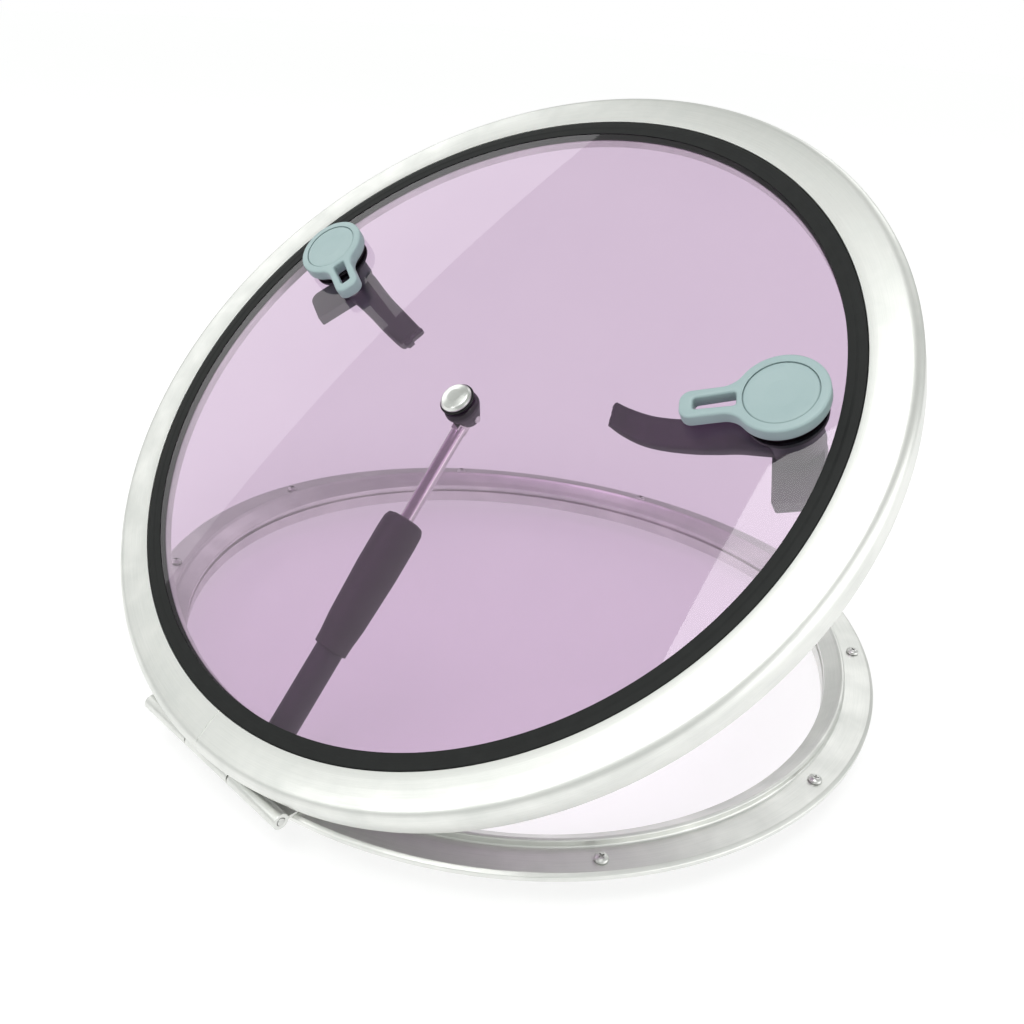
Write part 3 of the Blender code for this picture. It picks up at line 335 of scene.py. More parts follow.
def drawn_lines(name, base, dark, roughness, line_mm=0.5, bump=0.10, axis_turn=None):
    """Satin metal whose drawing or turning lines run round the piece's Z axis.

    Real lines are about 0.1 mm apart, and are drawn coarser here so that they still show.
    """
    material, tree, shader = new_material(name, {"Metallic": 1.0})
    source = drawn_place(tree)
    if axis_turn:
        source = add(tree, "Mapping", {"Vector": source, "Rotation": axis_turn}).outputs["Vector"]
    split = add(tree, "SeparateXYZ", {"Vector": source})
    flat = add(tree, "CombineXYZ", {"X": split.outputs["X"], "Y": split.outputs["Y"]})
    radius = add(tree, "VectorMath", {"Vector": flat.outputs["Vector"]}, operation="LENGTH")
    bearing = add(tree, "Math", {0: split.outputs["Y"], 1: split.outputs["X"]}, operation="ARCTAN2")
    along = add(tree, "Math", {0: bearing.outputs["Value"], 1: 0.004}, operation="MULTIPLY")
    lines = add(tree, "CombineXYZ", {"X": radius.outputs["Value"], "Y": along.outputs["Value"],
                                     "Z": split.outputs["Z"]})
    grain = add(tree, "TexNoise", {"Vector": lines.outputs["Vector"], "Scale": per_mm(line_mm),
                                   "Detail": 4.0, "Roughness": 0.6})
    cloud = add(tree, "TexNoise", {"Vector": source, "Scale": per_mm(28.0), "Detail": 3.0,
                                   "Distortion": 0.25})
    blend = add(tree, "Math", {0: grain.outputs["Fac"], 1: 0.55, 2: cloud.outputs["Fac"]},
                operation="MULTIPLY_ADD")
    level = add(tree, "MapRange", {"Value": blend.outputs["Value"], "From Min": 0.55, "From Max": 1.0})
    tone = add(tree, "Mix", {"A": colour(dark), "B": colour(base), "Factor": level.outputs["Result"]},
               data_type="RGBA")
    tree.links.new(tone.outputs["Result"], shader.inputs["Base Color"])
    rough = add(tree, "MapRange", {"Value": blend.outputs["Value"], "From Min": 0.5, "From Max": 1.05,
                                   "To Min": roughness + 0.05, "To Max": roughness - 0.05})
    tree.links.new(rough.outputs["Result"], shader.inputs["Roughness"])
    relief = add(tree, "Bump", {"Height": grain.outputs["Fac"], "Strength": bump, "Distance": 0.00004})
    tree.links.new(relief.outputs["Normal"], shader.inputs["Normal"])
    return material


CLEAR_RADIUS = 245.6
SPIGOT_OUTSIDE = 250.1
RING_RADIUS = 280.0
FLANGE_TOP = 4.8
RIDGE_TOP = 10.2
SPIGOT_BOTTOM = -13.0
HINGE_X = -279.0
HINGE_Z = 6.2
HINGE_HALF = 74.0
BARREL_RADIUS = 5.5

# A soft pale grey sheen with no clear reflection, and faint rings that follow the extrusion.
satin_anodised = drawn_lines("satin_anodised_aluminium", "E8E9E5", "D9DBD7", 0.42, bump=0.06)
base_ring = turned(
    "base_ring",
    rounded([
        (RING_RADIUS, 0, 0.3), (RING_RADIUS, 3.2, 0.8), (277.4, FLANGE_TOP, 0.9), (259.5, FLANGE_TOP, 0.7),
        (258.6, 5.6, 0.5), (258.5, RIDGE_TOP - 0.7, 0.5), (257.5, RIDGE_TOP, 0.6),
        (256.2, RIDGE_TOP, 0.6), (254.9, 8.6, 1.0), (249.4, 4.3, 2.0), (CLEAR_RADIUS, 2.0, 0.6),
        (CLEAR_RADIUS, -0.5, 0.25), (248.4, -0.9, 0.3), (248.4, -3.1, 0.3), (CLEAR_RADIUS, -3.5, 0.25),
        (CLEAR_RADIUS, -5.0, 0.3), (246.4, -5.4, 0.2), (246.4, SPIGOT_BOTTOM, 0.4),
        (SPIGOT_OUTSIDE, SPIGOT_BOTTOM, 0.4), (SPIGOT_OUTSIDE, 0, 0.3),
    ], facets=3),
    steps=256,
)
SCREW_CIRCLE = 268.8
SCREW_COUNT = 10
SCREW_HOLE = 2.5


def deck_screw_places():
    for number in range(SCREW_COUNT):
        bearing = math.radians(180 + (number + 0.5) * 360 / SCREW_COUNT)
        yield number + 1, at(SCREW_CIRCLE * math.cos(bearing), SCREW_CIRCLE * math.sin(bearing)), bearing


for number, place, _ in deck_screw_places():
    hole = turned("screw_hole", bar(SCREW_HOLE, -3, 8), steps=24)
    hole.matrix_world = place @ turn_about("Z", 4)
    shape_with(base_ring, hole)
shape_with(base_ring, block("hinge_relief", (-300, -HINGE_HALF - 0.6, -5),
                            (HINGE_X + BARREL_RADIUS + 0.6, HINGE_HALF + 0.6, 20)))
ease_edges(base_ring, 0.35)
fit(base_ring, satin_anodised, "base", "anodised_frame", "base_frame")


# ---------------------------------------------------------------- deck screws
# Stainless pan head screws with a cross recess, turned and thread rolled. They hold the flange to the deck.
# A brighter, tighter glint than the frame, so the small heads stand out from it.
bright_stainless = drawn_lines("bright_stainless_steel", "E4E5E2", "CFD0CD", 0.35, line_mm=0.35, bump=0.06)


def threaded(root, crest, low, high, pitch):
    """The outline of a thread's flanks from the top to the bottom, as rings one pitch apart."""
    points = []
    up = high
    while up - pitch > low + 1.5:
        points += [(crest, up - pitch * 0.5), (root, up - pitch)]
        up -= pitch
    return points


def pan_screw(name, head, height, root, crest, seat, reach, recess):
    """A pan head screw with a cross recess: the head stands on seat, the shank goes down to -reach."""
    outline = rounded([
        (0, seat + height, 0), (head * 0.55, seat + height * 0.96, 1.2),
        (head * 0.93, seat + height * 0.62, 1.2),
        (head, seat + height * 0.15, 0.4), (head * 0.97, seat, 0.2), (root, seat, 0),
    ])
    outline += [Vector(p) for p in threaded(root, crest, -reach, seat - 0.4, 1.1)]
    outline += [Vector((root, 1.6 - reach)), Vector((0, -reach))]
    screw = turned(name, outline, steps=36)
    for quarter in (0, 90):
        wing = block("recess", (-recess, -0.45, seat + height * 0.45), (recess, 0.45, seat + height + 2))
        wing.matrix_world = turn_about("Z", quarter)
        shape_with(screw, wing)
    well = turned("well", rounded([
        (0, seat + height + 2, 0), (recess * 0.52, seat + height + 2, 0),
        (recess * 0.42, seat + height * 0.4, 0), (0, seat + height * 0.25, 0)]), 24)
    shape_with(screw, well)
    return screw


deck_screw = pan_screw("deck_bolt", 4.45, 2.9, 1.65, 2.05, FLANGE_TOP + 0.3, 12.0, 2.0)
for number, place, bearing in deck_screw_places():
    screw = bpy.data.objects.new(f"deck_bolt_{number:02d}", deck_screw.data.copy())
    scene.collection.objects.link(screw)
    # Each screw stops at a turn of its own.
    fit(screw, bright_stainless, "base", "stainless_steel", f"deck_screw_{number:02d}",
        where=place @ turn_about("Z", (number * 37) % 90))
bpy.data.objects.remove(deck_screw)


# ---------------------------------------------------------------- hinge
# Two extruded aluminium leaves whose barrels turn on one stainless pin. The base leaf is screwed to the
# flange, and the lid leaf stands up inside the lid's rim.
hinge_joint = next(joint for joint in frame["joints"] if joint["name"] == "lid_hinge")
OPEN_DEGREES = -hinge_joint["range_deg"][0]
OPEN = at(HINGE_X, 0, HINGE_Z) @ turn_about("Y", -OPEN_DEGREES) @ at(-HINGE_X, 0, -HINGE_Z)
PIN_RADIUS = 2.6
LID_BARREL_HALF = 24.0
LEAF_THICKNESS = 2.2
LEAF_END = HINGE_X + 17.1
barrel_line = at(HINGE_X, 0, HINGE_Z) @ turn_about("X", -90)
# Extrusion lines run along the leaves, so this finish turns its lines about Y.
extruded_anodised = drawn_lines("extruded_anodised_aluminium", "E6E7E3", "D6D8D4", 0.42,
                                axis_turn=(math.radians(90), 0, 0))


def barrel(name, low, high):
    made = turned(name, bar(BARREL_RADIUS, low, high, 0.5, PIN_RADIUS + 0.3, 0.2), steps=48)
    made.matrix_world = barrel_line
    return made


base_leaf = block("base_leaf", (HINGE_X + BARREL_RADIUS + 0.3, -HINGE_HALF, HINGE_Z - LEAF_THICKNESS / 2),
                  (LEAF_END, HINGE_HALF, HINGE_Z + LEAF_THICKNESS / 2), 0.4)
for side in (-1, 1):
    ends = sorted((side * (LID_BARREL_HALF + 0.6), side * HINGE_HALF))
    shape_with(base_leaf, barrel("end_barrel", *ends), "UNION")
    web = block("web", (HINGE_X + PIN_RADIUS + 1.0, ends[0] + 0.4, HINGE_Z - LEAF_THICKNESS / 2 + 0.1),
                (HINGE_X + BARREL_RADIUS + 2, ends[1] - 0.4, HINGE_Z + LEAF_THICKNESS / 2 - 0.1))
    shape_with(base_leaf, web, "UNION")
leaf_low, leaf_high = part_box("hinge_screw_1")
LEAF_SCREW_X = (leaf_low.x + leaf_high.x) / 2 / MM
LEAF_SCREW_Y = abs(leaf_low.y + leaf_high.y) / 2 / MM
for side in (-1, 1):
    hole = turned("hole", bar(1.9, -2, 12), steps=24)
    hole.matrix_world = at(LEAF_SCREW_X, side * LEAF_SCREW_Y)
    shape_with(base_leaf, hole)
fit(base_leaf, extruded_anodised, "base", "anodised_frame", "hinge_base_leaf")

hinge_rod = turned("hinge_rod", rounded([
    (0, HINGE_HALF + 0.4, 0), (PIN_RADIUS, HINGE_HALF + 0.4, 0.5), (PIN_RADIUS, -HINGE_HALF - 0.4, 0.5),
    (0, -HINGE_HALF - 0.4, 0)]), steps=32)
fit(hinge_rod, bright_stainless, "base", "stainless_steel", "hinge_pin", where=barrel_line)

leaf_screw = pan_screw("leaf_bolt", 2.95, 1.55, 1.15, 1.45, HINGE_Z + LEAF_THICKNESS / 2 + 0.3, 4.0, 1.2)
for number, side in ((1, -1), (2, 1)):
    screw = bpy.data.objects.new(f"leaf_bolt_{number}", leaf_screw.data.copy())
    scene.collection.objects.link(screw)
    fit(screw, bright_stainless, "base", "stainless_steel", f"hinge_screw_{number}",
        where=at(LEAF_SCREW_X, side * LEAF_SCREW_Y) @ turn_about("Z", 20 * side))
bpy.data.objects.remove(leaf_screw)

LID_RADIUS = 279.6
LID_WALL = 3.0
FLAT = math.cos(math.pi / 48)
lid_leaf_back = 0.3 - math.sqrt(((LID_RADIUS - LID_WALL) * FLAT) ** 2 - LID_BARREL_HALF**2)
lid_leaf = block("lid_leaf", (lid_leaf_back, -LID_BARREL_HALF + 0.6, HINGE_Z + LEAF_THICKNESS),
                 (lid_leaf_back + LEAF_THICKNESS, LID_BARREL_HALF - 0.6, HINGE_Z + LEAF_THICKNESS + 10), 0.4)
shape_with(lid_leaf, barrel("middle_barrel", 0.6 - LID_BARREL_HALF, LID_BARREL_HALF - 0.6), "UNION")
fit(lid_leaf, extruded_anodised, "lid", "anodised_frame", "hinge_lid_leaf", where=OPEN)


# ---------------------------------------------------------------- lid ring
# A wider aluminium extrusion, rolled to a ring and butted at the hinge's middle. Its top is slightly
# crowned, its outer shoulder well rounded, and inside it has a pocket for the glazing.
LID_TOP = 27.2
LID_BOTTOM = 5.1
SHOULDER = 8.0
POCKET_RADIUS = 251.6
LEDGE_RADIUS = 240.0
LEDGE_TOP = 14.0
CHANNEL = (254.0, 262.9)
SEAM_BEARING = 180.0
SEAM_HALF = 0.035
SEAM_DEPTH = 0.35
corner = (LID_RADIUS - SHOULDER, LID_TOP - SHOULDER)
shoulder_arc = SHOULDER - 0.13
shoulder = [
    (corner[0] + shoulder_arc * math.cos(math.radians(a)),
     corner[1] + shoulder_arc * math.sin(math.radians(a)), 0)
    for a in range(87, 0, -6)
]
lid_outline = rounded([
    (POCKET_RADIUS, LID_TOP, 0.5), (256.5, LID_TOP + 0.22, 3), (262.0, LID_TOP + 0.3, 3),
    (267.0, LID_TOP + 0.2, 3), *shoulder, (LID_RADIUS, LID_BOTTOM, 0.6),
    (LID_RADIUS - LID_WALL, LID_BOTTOM, 0.4),
    (LID_RADIUS - LID_WALL, corner[1], 1.0), (corner[0], LID_TOP - LID_WALL, 1.0),
    (CHANNEL[1] + 2.4, LID_TOP - LID_WALL, 0.5), (CHANNEL[1] + 2.4, 11.2, 0.4), (CHANNEL[1], 11.2, 0.4),
    (CHANNEL[1], 18.0, 0.4), (CHANNEL[0], 18.0, 0.4), (CHANNEL[0], 11.6, 0.4), (243.0, 11.6, 0.6),
    (243.0, 6.2, 0.4), (LEDGE_RADIUS, 6.2, 0.4), (LEDGE_RADIUS, LEDGE_TOP, 0.4),
    (POCKET_RADIUS, LEDGE_TOP, 0.3),
], facets=3)


def butt_seam(bearing, across, up):
    """The visible skin dips into the seam line at the butted ends."""
    if abs(bearing - SEAM_BEARING) > SEAM_HALF or (across < POCKET_RADIUS + 0.01 or up < LID_BOTTOM):
        return across, up
    skin = Vector((across - 264.0, up - 14.0))
    if across < 270 and up < LID_TOP - 1.0:
        return across, up
    if across > 270 and skin.length < 13.4 and across < LID_RADIUS - 0.8:
        return across, up
    skin.normalize()
    return across - SEAM_DEPTH * skin.x, up - SEAM_DEPTH * skin.y


lid_bearings = sorted(
    [360 * step / 256 for step in range(256) if step != 128]
    + [SEAM_BEARING + offset for offset in (-0.08, -SEAM_HALF, SEAM_HALF, 0.08)]
)
lid_ring = turned("lid_ring", lid_outline, bearings=lid_bearings, dent=butt_seam)
rim_inside = math.sqrt(((LID_RADIUS - LID_WALL) * FLAT) ** 2 - (HINGE_HALF + 0.6) ** 2)
shape_with(lid_ring, block("hinge_relief", (-300, -HINGE_HALF - 0.6, -10),
                           (0.6 - rim_inside, HINGE_HALF + 0.6, HINGE_Z + BARREL_RADIUS + 0.6)))
fit(lid_ring, satin_anodised, "lid", "anodised_frame", "lid_frame", where=OPEN)


# ---------------------------------------------------------------- glazing
# A 10 mm disc of cast acrylic with a lilac tint, its edge polished and drilled for the two spindles and the
# stay. Lamps shine through it onto what is below.
PANE_RADIUS = 244.6
PANE_TOP = 26.0
PANE_BOTTOM = 16.0
SPINDLE_RADIUS = 7.0
STUD_RADIUS = 3.8
HANDLE_CIRCLE = 210.2
HANDLE_BEARING = 69.7

# A lilac tint over everything behind it, with clean reflections on top.
lilac_acrylic, tree, shader = new_material(
    "lilac_cast_acrylic", {"IOR": 1.49, "Transmission Weight": 1.0})
haze = add(tree, "TexNoise", {"Vector": drawn_place(tree), "Scale": per_mm(60.0), "Detail": 4.0})
tint = add(tree, "Mix", {"A": colour("CCB7CE"), "B": colour("D0BBD1"), "Factor": haze.outputs["Fac"]},
           data_type="RGBA")
tree.links.new(tint.outputs["Result"], shader.inputs["Base Color"])
film = add(tree, "MapRange", {"Value": haze.outputs["Fac"], "To Min": 0.0, "To Max": 0.03})
tree.links.new(film.outputs["Result"], shader.inputs["Roughness"])
lamp_ray = add(tree, "LightPath")
clear = add(tree, "BsdfTransparent", {"Color": colour("CEB9CF")})
let_lamps_through = add(tree, "MixShader", {0: lamp_ray.outputs["Is Shadow Ray"], 1: shader.outputs["BSDF"],
                                            2: clear.outputs["BSDF"]})
tree.links.new(let_lamps_through.outputs["Shader"], tree.nodes["Material Output"].inputs["Surface"])

glazing = turned("glazing", rounded([
    (0, PANE_TOP, 0), (PANE_RADIUS, PANE_TOP, 0.5), (PANE_RADIUS, PANE_BOTTOM, 0.3), (0, PANE_BOTTOM, 0)]),
    steps=256)


def handle_place(side):
    bearing = math.radians(side * HANDLE_BEARING)
    return at(HANDLE_CIRCLE * math.cos(bearing), HANDLE_CIRCLE * math.sin(bearing))


SIDES = ((-1, "right"), (1, "left"))
for side, _ in SIDES:
    hole = turned("spindle_hole", bar(SPINDLE_RADIUS + 0.4, 10, 40), steps=48)
    hole.matrix_world = handle_place(side)
    shape_with(glazing, hole)
shape_with(glazing, turned("stud_hole", bar(STUD_RADIUS + 0.4, 10, 40), steps=48))
fit(glazing, lilac_acrylic, "lid", "tinted_pane", "pane", where=OPEN)


# ---------------------------------------------------------------- glazing seal, bedding and gasket
# Black EPDM extrusions: a wedge pressed between glass and frame, a flat strip that the glass beds on, and
# the bulb that closes on the base ridge. Extruded rubber is matt with fine lines along its length.
def extruded_rubber(name, base, light, roughness):
    material, tree, shader = new_material(name, {"IOR": 1.52, "Specular IOR Level": 0.22})
    place = drawn_place(tree)
    split = add(tree, "SeparateXYZ", {"Vector": place})
    flat = add(tree, "CombineXYZ", {"X": split.outputs["X"], "Y": split.outputs["Y"]})
    radius = add(tree, "VectorMath", {"Vector": flat.outputs["Vector"]}, operation="LENGTH")
    lines = add(tree, "CombineXYZ", {"X": radius.outputs["Value"], "Z": split.outputs["Z"]})
    grain = add(tree, "TexNoise", {"Vector": lines.outputs["Vector"], "Scale": per_mm(0.8), "Detail": 3.0})
    dust = add(tree, "TexNoise", {"Vector": place, "Scale": per_mm(9.0), "Detail": 5.0})
    bloom = add(tree, "MapRange", {"Value": dust.outputs["Fac"], "From Min": 0.4, "From Max": 0.75})
    tone = add(tree, "Mix", {"A": colour(base), "B": colour(light), "Factor": bloom.outputs["Result"]},
               data_type="RGBA")
    tree.links.new(tone.outputs["Result"], shader.inputs["Base Color"])
    rough = add(tree, "MapRange", {"Value": dust.outputs["Fac"], "To Min": roughness - 0.06,
                                   "To Max": roughness + 0.08})
    tree.links.new(rough.outputs["Result"], shader.inputs["Roughness"])
    relief = add(tree, "Bump", {"Height": grain.outputs["Fac"], "Strength": 0.25, "Distance": 0.0001})
    tree.links.new(relief.outputs["Normal"], shader.inputs["Normal"])
    return material


# A dark, matt band that outlines the glazing, with a dull bloom in places.
seal_rubber = extruded_rubber("black_epdm_rubber", "141615", "1A1C1B", 0.56)
SEAL_OUTSIDE = POCKET_RADIUS - 0.3
SEAL_INSIDE = PANE_RADIUS + 0.3
LIP_RADIUS = LEDGE_RADIUS + 0.6
# A thin lip lies over the pane's edge, down to the strip below it.
glazing_seal = turned("glazing_seal", rounded([
    (SEAL_OUTSIDE, LID_TOP - 0.5, 0.8), (SEAL_OUTSIDE, PANE_BOTTOM, 0), (SEAL_INSIDE, PANE_BOTTOM, 0),
    (SEAL_INSIDE, PANE_TOP + 0.1, 0), (LIP_RADIUS, PANE_TOP + 0.1, 0), (LIP_RADIUS, PANE_TOP + 0.4, 0.15),
    (SEAL_INSIDE, PANE_TOP + 0.55, 0.4), (SEAL_INSIDE + 1.6, PANE_TOP + 0.95, 0.8),
    (SEAL_OUTSIDE - 1.2, LID_TOP - 0.2, 0.8)]), steps=256)
fit(glazing_seal, seal_rubber, "lid", "seal_rubber", "pane_seal", where=OPEN)

# Darker and duller still. Little of it shows below the seal's lip.
bedding_rubber = extruded_rubber("black_bedding_strip", "0E0E0E", "151515", 0.62)
glazing_bed = turned("glazing_bed", rounded([
    (SEAL_OUTSIDE, 15.7, 0.2), (SEAL_OUTSIDE, 14.3, 0.2), (LEDGE_RADIUS + 0.3, 14.3, 0.3),
    (LEDGE_RADIUS + 0.3, 15.7, 0.3)]), steps=256)
fit(glazing_bed, bedding_rubber, "lid", "bedding_rubber", "pane_bedding", where=OPEN)

bulb_seal = turned("bulb_seal", rounded([
    (CHANNEL[1] - 0.3, 17.7, 0.3), (CHANNEL[1] - 0.3, 13.4, 1.6), (CHANNEL[1] - 1.6, 10.5, 2.4),
    (CHANNEL[0] + 1.6, 10.5, 2.4), (CHANNEL[0] + 0.3, 13.4, 1.6), (CHANNEL[0] + 0.3, 17.7, 0.3)]), steps=256)
fit(bulb_seal, seal_rubber, "lid", "seal_rubber", "lid_gasket", where=OPEN)


# ---------------------------------------------------------------- handles
# Each outer handle is one moulding in pale blue grey acetal: a thick round knob with a short lever, pierced
# by a tapering slot, and a shallow dished disc that covers the spindle's end.
def moulded(name, base, dark, roughness, grain_mm=0.6, bump=0.2, ior=1.48):
    """Moulded plastic: an even colour with faint flow marks, and the fine spark texture of its mould."""
    material, tree, shader = new_material(name, {"IOR": ior})
    place = drawn_place(tree)
    flow = add(tree, "TexNoise", {"Vector": place, "Scale": per_mm(18.0), "Detail": 3.0, "Distortion": 0.6})
    spark = add(tree, "TexNoise", {"Vector": place, "Scale": per_mm(grain_mm), "Detail": 2.0})
    tone = add(tree, "Mix", {"A": colour(dark), "B": colour(base), "Factor": flow.outputs["Fac"]},
               data_type="RGBA")
    tree.links.new(tone.outputs["Result"], shader.inputs["Base Color"])
    rough = add(tree, "MapRange", {"Value": flow.outputs["Fac"], "To Min": roughness + 0.06,
                                   "To Max": roughness - 0.06})
    tree.links.new(rough.outputs["Result"], shader.inputs["Roughness"])
    relief = add(tree, "Bump", {"Height": spark.outputs["Fac"], "Strength": bump, "Distance": 0.00006})
    tree.links.new(relief.outputs["Normal"], shader.inputs["Normal"])
    return material


def arc(centre, radius, start, end, count):
    turns = [math.radians(start + (end - start) * i / count) for i in range(count + 1)]
    return [(centre[0] + radius * math.cos(t), centre[1] + radius * math.sin(t)) for t in turns]


def plate(name, outlines, low, high, ease, facets=3):
    """A moulded plate from closed outlines in mm, the first outside and the rest holes, with eased edges."""
    curve = bpy.data.curves.new(name, "CURVE")
    curve.dimensions = "2D"
    curve.fill_mode = "BOTH"
    curve.extrude = ((high - low) / 2 - ease) * MM
    curve.bevel_depth = ease * MM
    curve.bevel_resolution = facets
    curve.offset = -ease * MM
    for points in outlines:
        spline = curve.splines.new("POLY")
        spline.points.add(len(points) - 1)
        for point, (x, y) in zip(spline.points, points):
            point.co = (x * MM, y * MM, 0, 1)
        spline.use_cyclic_u = True
    guide = bpy.data.objects.new(name + "_outline", curve)
    scene.collection.objects.link(guide)
    bpy.context.view_layer.update()
    mesh = bpy.data.meshes.new_from_object(guide.evaluated_get(bpy.context.evaluated_depsgraph_get()))
    bpy.data.objects.remove(guide)
    form = bmesh.new()
    form.from_mesh(mesh)
    bmesh.ops.translate(form, verts=form.verts, vec=(0, 0, (high + low) / 2 * MM))
    return mesh_object(name, form)


# A cool, even blue grey with soft highlights on its rounded edges.
handle_acetal = moulded("pale_blue_grey_acetal", "99ADAD", "90A5A6", 0.42)
KNOB_RADIUS = 26.0
LEVER_LENGTH = 56.0
LEVER_HALF = 9.5
NECK = 14.0
LEVER_CORNER = 7.0
HANDLE_LOW = 28.4
HANDLE_HIGH = 38.0
CAP_RADIUS = 20.5
CAP_DEPTH = 1.6
reach = KNOB_RADIUS + NECK
neck = (math.sqrt(reach**2 - (LEVER_HALF + NECK) ** 2), LEVER_HALF + NECK)
leave = math.degrees(math.atan2(neck[1], neck[0]))
lever_upper = [
    *arc((LEVER_LENGTH - LEVER_CORNER, LEVER_HALF - LEVER_CORNER), LEVER_CORNER, 0, 90, 10),
    *arc(neck, NECK, -90, -180 + leave, 10),
    *arc((0, 0), KNOB_RADIUS, leave, 180, 36)[1:],
]
lever_outline = lever_upper + [(x, -y) for x, y in reversed(lever_upper[:-1])]
slot_upper = [*arc((46.2, 2.0), 1.8, 0, 90, 5), *arc((25.8, 2.7), 1.8, 90, 180, 5)]
slot_outline = slot_upper + [(x, -y) for x, y in reversed(slot_upper)]

# A near black line that lifts the pale handle off the glazing.
black_rubber_ring = extruded_rubber("black_nitrile_rubber", "0F1010", "191A1A", 0.45)
# Fine turned rings in a mid grey. The pieces around it hide most of it.
stainless_spindle = drawn_lines("ground_stainless_spindle", "C8C9C6", "ADAEAB", 0.22, line_mm=0.4)

# ---------------------------------------------------------------- inner levers and latch dogs
# Glass filled nylon, dark grey. The inner lever is an S-shaped grip on a hub, and the dog below it hooks
# under the spigot when it is turned outwards. A countersunk screw holds both on the spindle's square.
# Matt charcoal with a coarse mould grain, which reads as a flat dark shape through the tint.
dark_nylon = moulded("dark_grey_glass_filled_nylon", "4C494E", "424045", 0.50, grain_mm=0.9, bump=0.3)
DOG_TOP = -13.6
DOG_LOW = -23.6
HUB_RADIUS = 16.0
BLADE_WIDTH = 22.0
BLADE_STATIONS = (
    (6.0, 5.0, 1.20, 9.0), (18.0, 5.0, 1.20, 9.0), (32.0, 2.6, 1.08, 8.8), (46.0, -1.2, 1.00, 8.6),
    (62.0, -3.0, 1.00, 8.2), (80.0, -3.0, 0.97, 7.4), (93.0, -0.2, 0.93, 6.0), (103.0, 6.6, 0.86, 4.6),
    (109.6, 14.6, 0.78, 3.2),
)


def spline_through(stations, pieces):
    """More stations along a smooth curve through the given ones."""
    result = []
    last = len(stations) - 1
    for index in range(last):
        window = [stations[max(index - 1, 0)], stations[index], stations[index + 1],
                  stations[min(index + 2, last)]]
        for step in range(pieces):
            t = step / pieces
            result.append([
                0.5 * (2 * b + (c - a) * t + (2 * a - 5 * b + 4 * c - d) * t**2
                       + (3 * b - a - 3 * c + d) * t**3)
                for a, b, c, d in zip(*window)
            ])
    result.append(list(stations[last]))
    return result


def blade(name):
    """The inner lever's blade, a rounded section swept along its S-shaped side view."""
    stations = spline_through(BLADE_STATIONS, 4)
    middles = [Vector((along, 0, DOG_TOP + rise)) for along, rise, _, _ in stations]
    form = bmesh.new()
    rings = []
    for index, (_, _, share, thick) in enumerate(stations):
        ahead = middles[min(index + 1, len(middles) - 1)] - middles[max(index - 1, 0)]
        normal = ahead.normalized().cross(Vector((0, 1, 0)))
        half_width = BLADE_WIDTH * share / 2
        ease = thick * 0.32
        ring = []
        for side_u, side_v, start in ((1, 1, 0), (-1, 1, 90), (-1, -1, 180), (1, -1, 270)):
            for u, v in arc((side_u * (half_width - ease), side_v * (thick / 2 - ease)), ease,
                            start, start + 90, 4):
                ring.append(form.verts.new((middles[index] + Vector((0, u, 0)) + normal * v) * MM))
        rings.append(ring)
    # The tip closes in a rounded end.
    tip = middles[-1] + (middles[-1] - middles[-2]).normalized() * 0.9
    cap = [form.verts.new((tip + (vertex.co / MM - middles[-1]) * 0.55) * MM) for vertex in rings[-1]]
    rings.append(cap)
    for first, second in zip(rings, rings[1:]):
        for i in range(len(first)):
            j = (i + 1) % len(first)
            form.faces.new((first[i], first[j], second[j], second[i]))
    form.faces.new(rings[0])
    form.faces.new(rings[-1])
    return mesh_object(name, form, 45)


DOG_HALF = 14.5
DOG_REACH = 39.8
DOG_CORNER = 8.0


def dog_outline(side):
    points = [
        *arc((DOG_REACH - 1.5, 1.5 - DOG_HALF), 1.5, -90, 0, 4),
        *arc((DOG_REACH - DOG_CORNER, DOG_HALF - DOG_CORNER), DOG_CORNER, 0, 90, 8),
        *arc((0, 0), DOG_HALF, 90, 270, 20),
    ]
    return [(x, -side * y) for x, y in points]


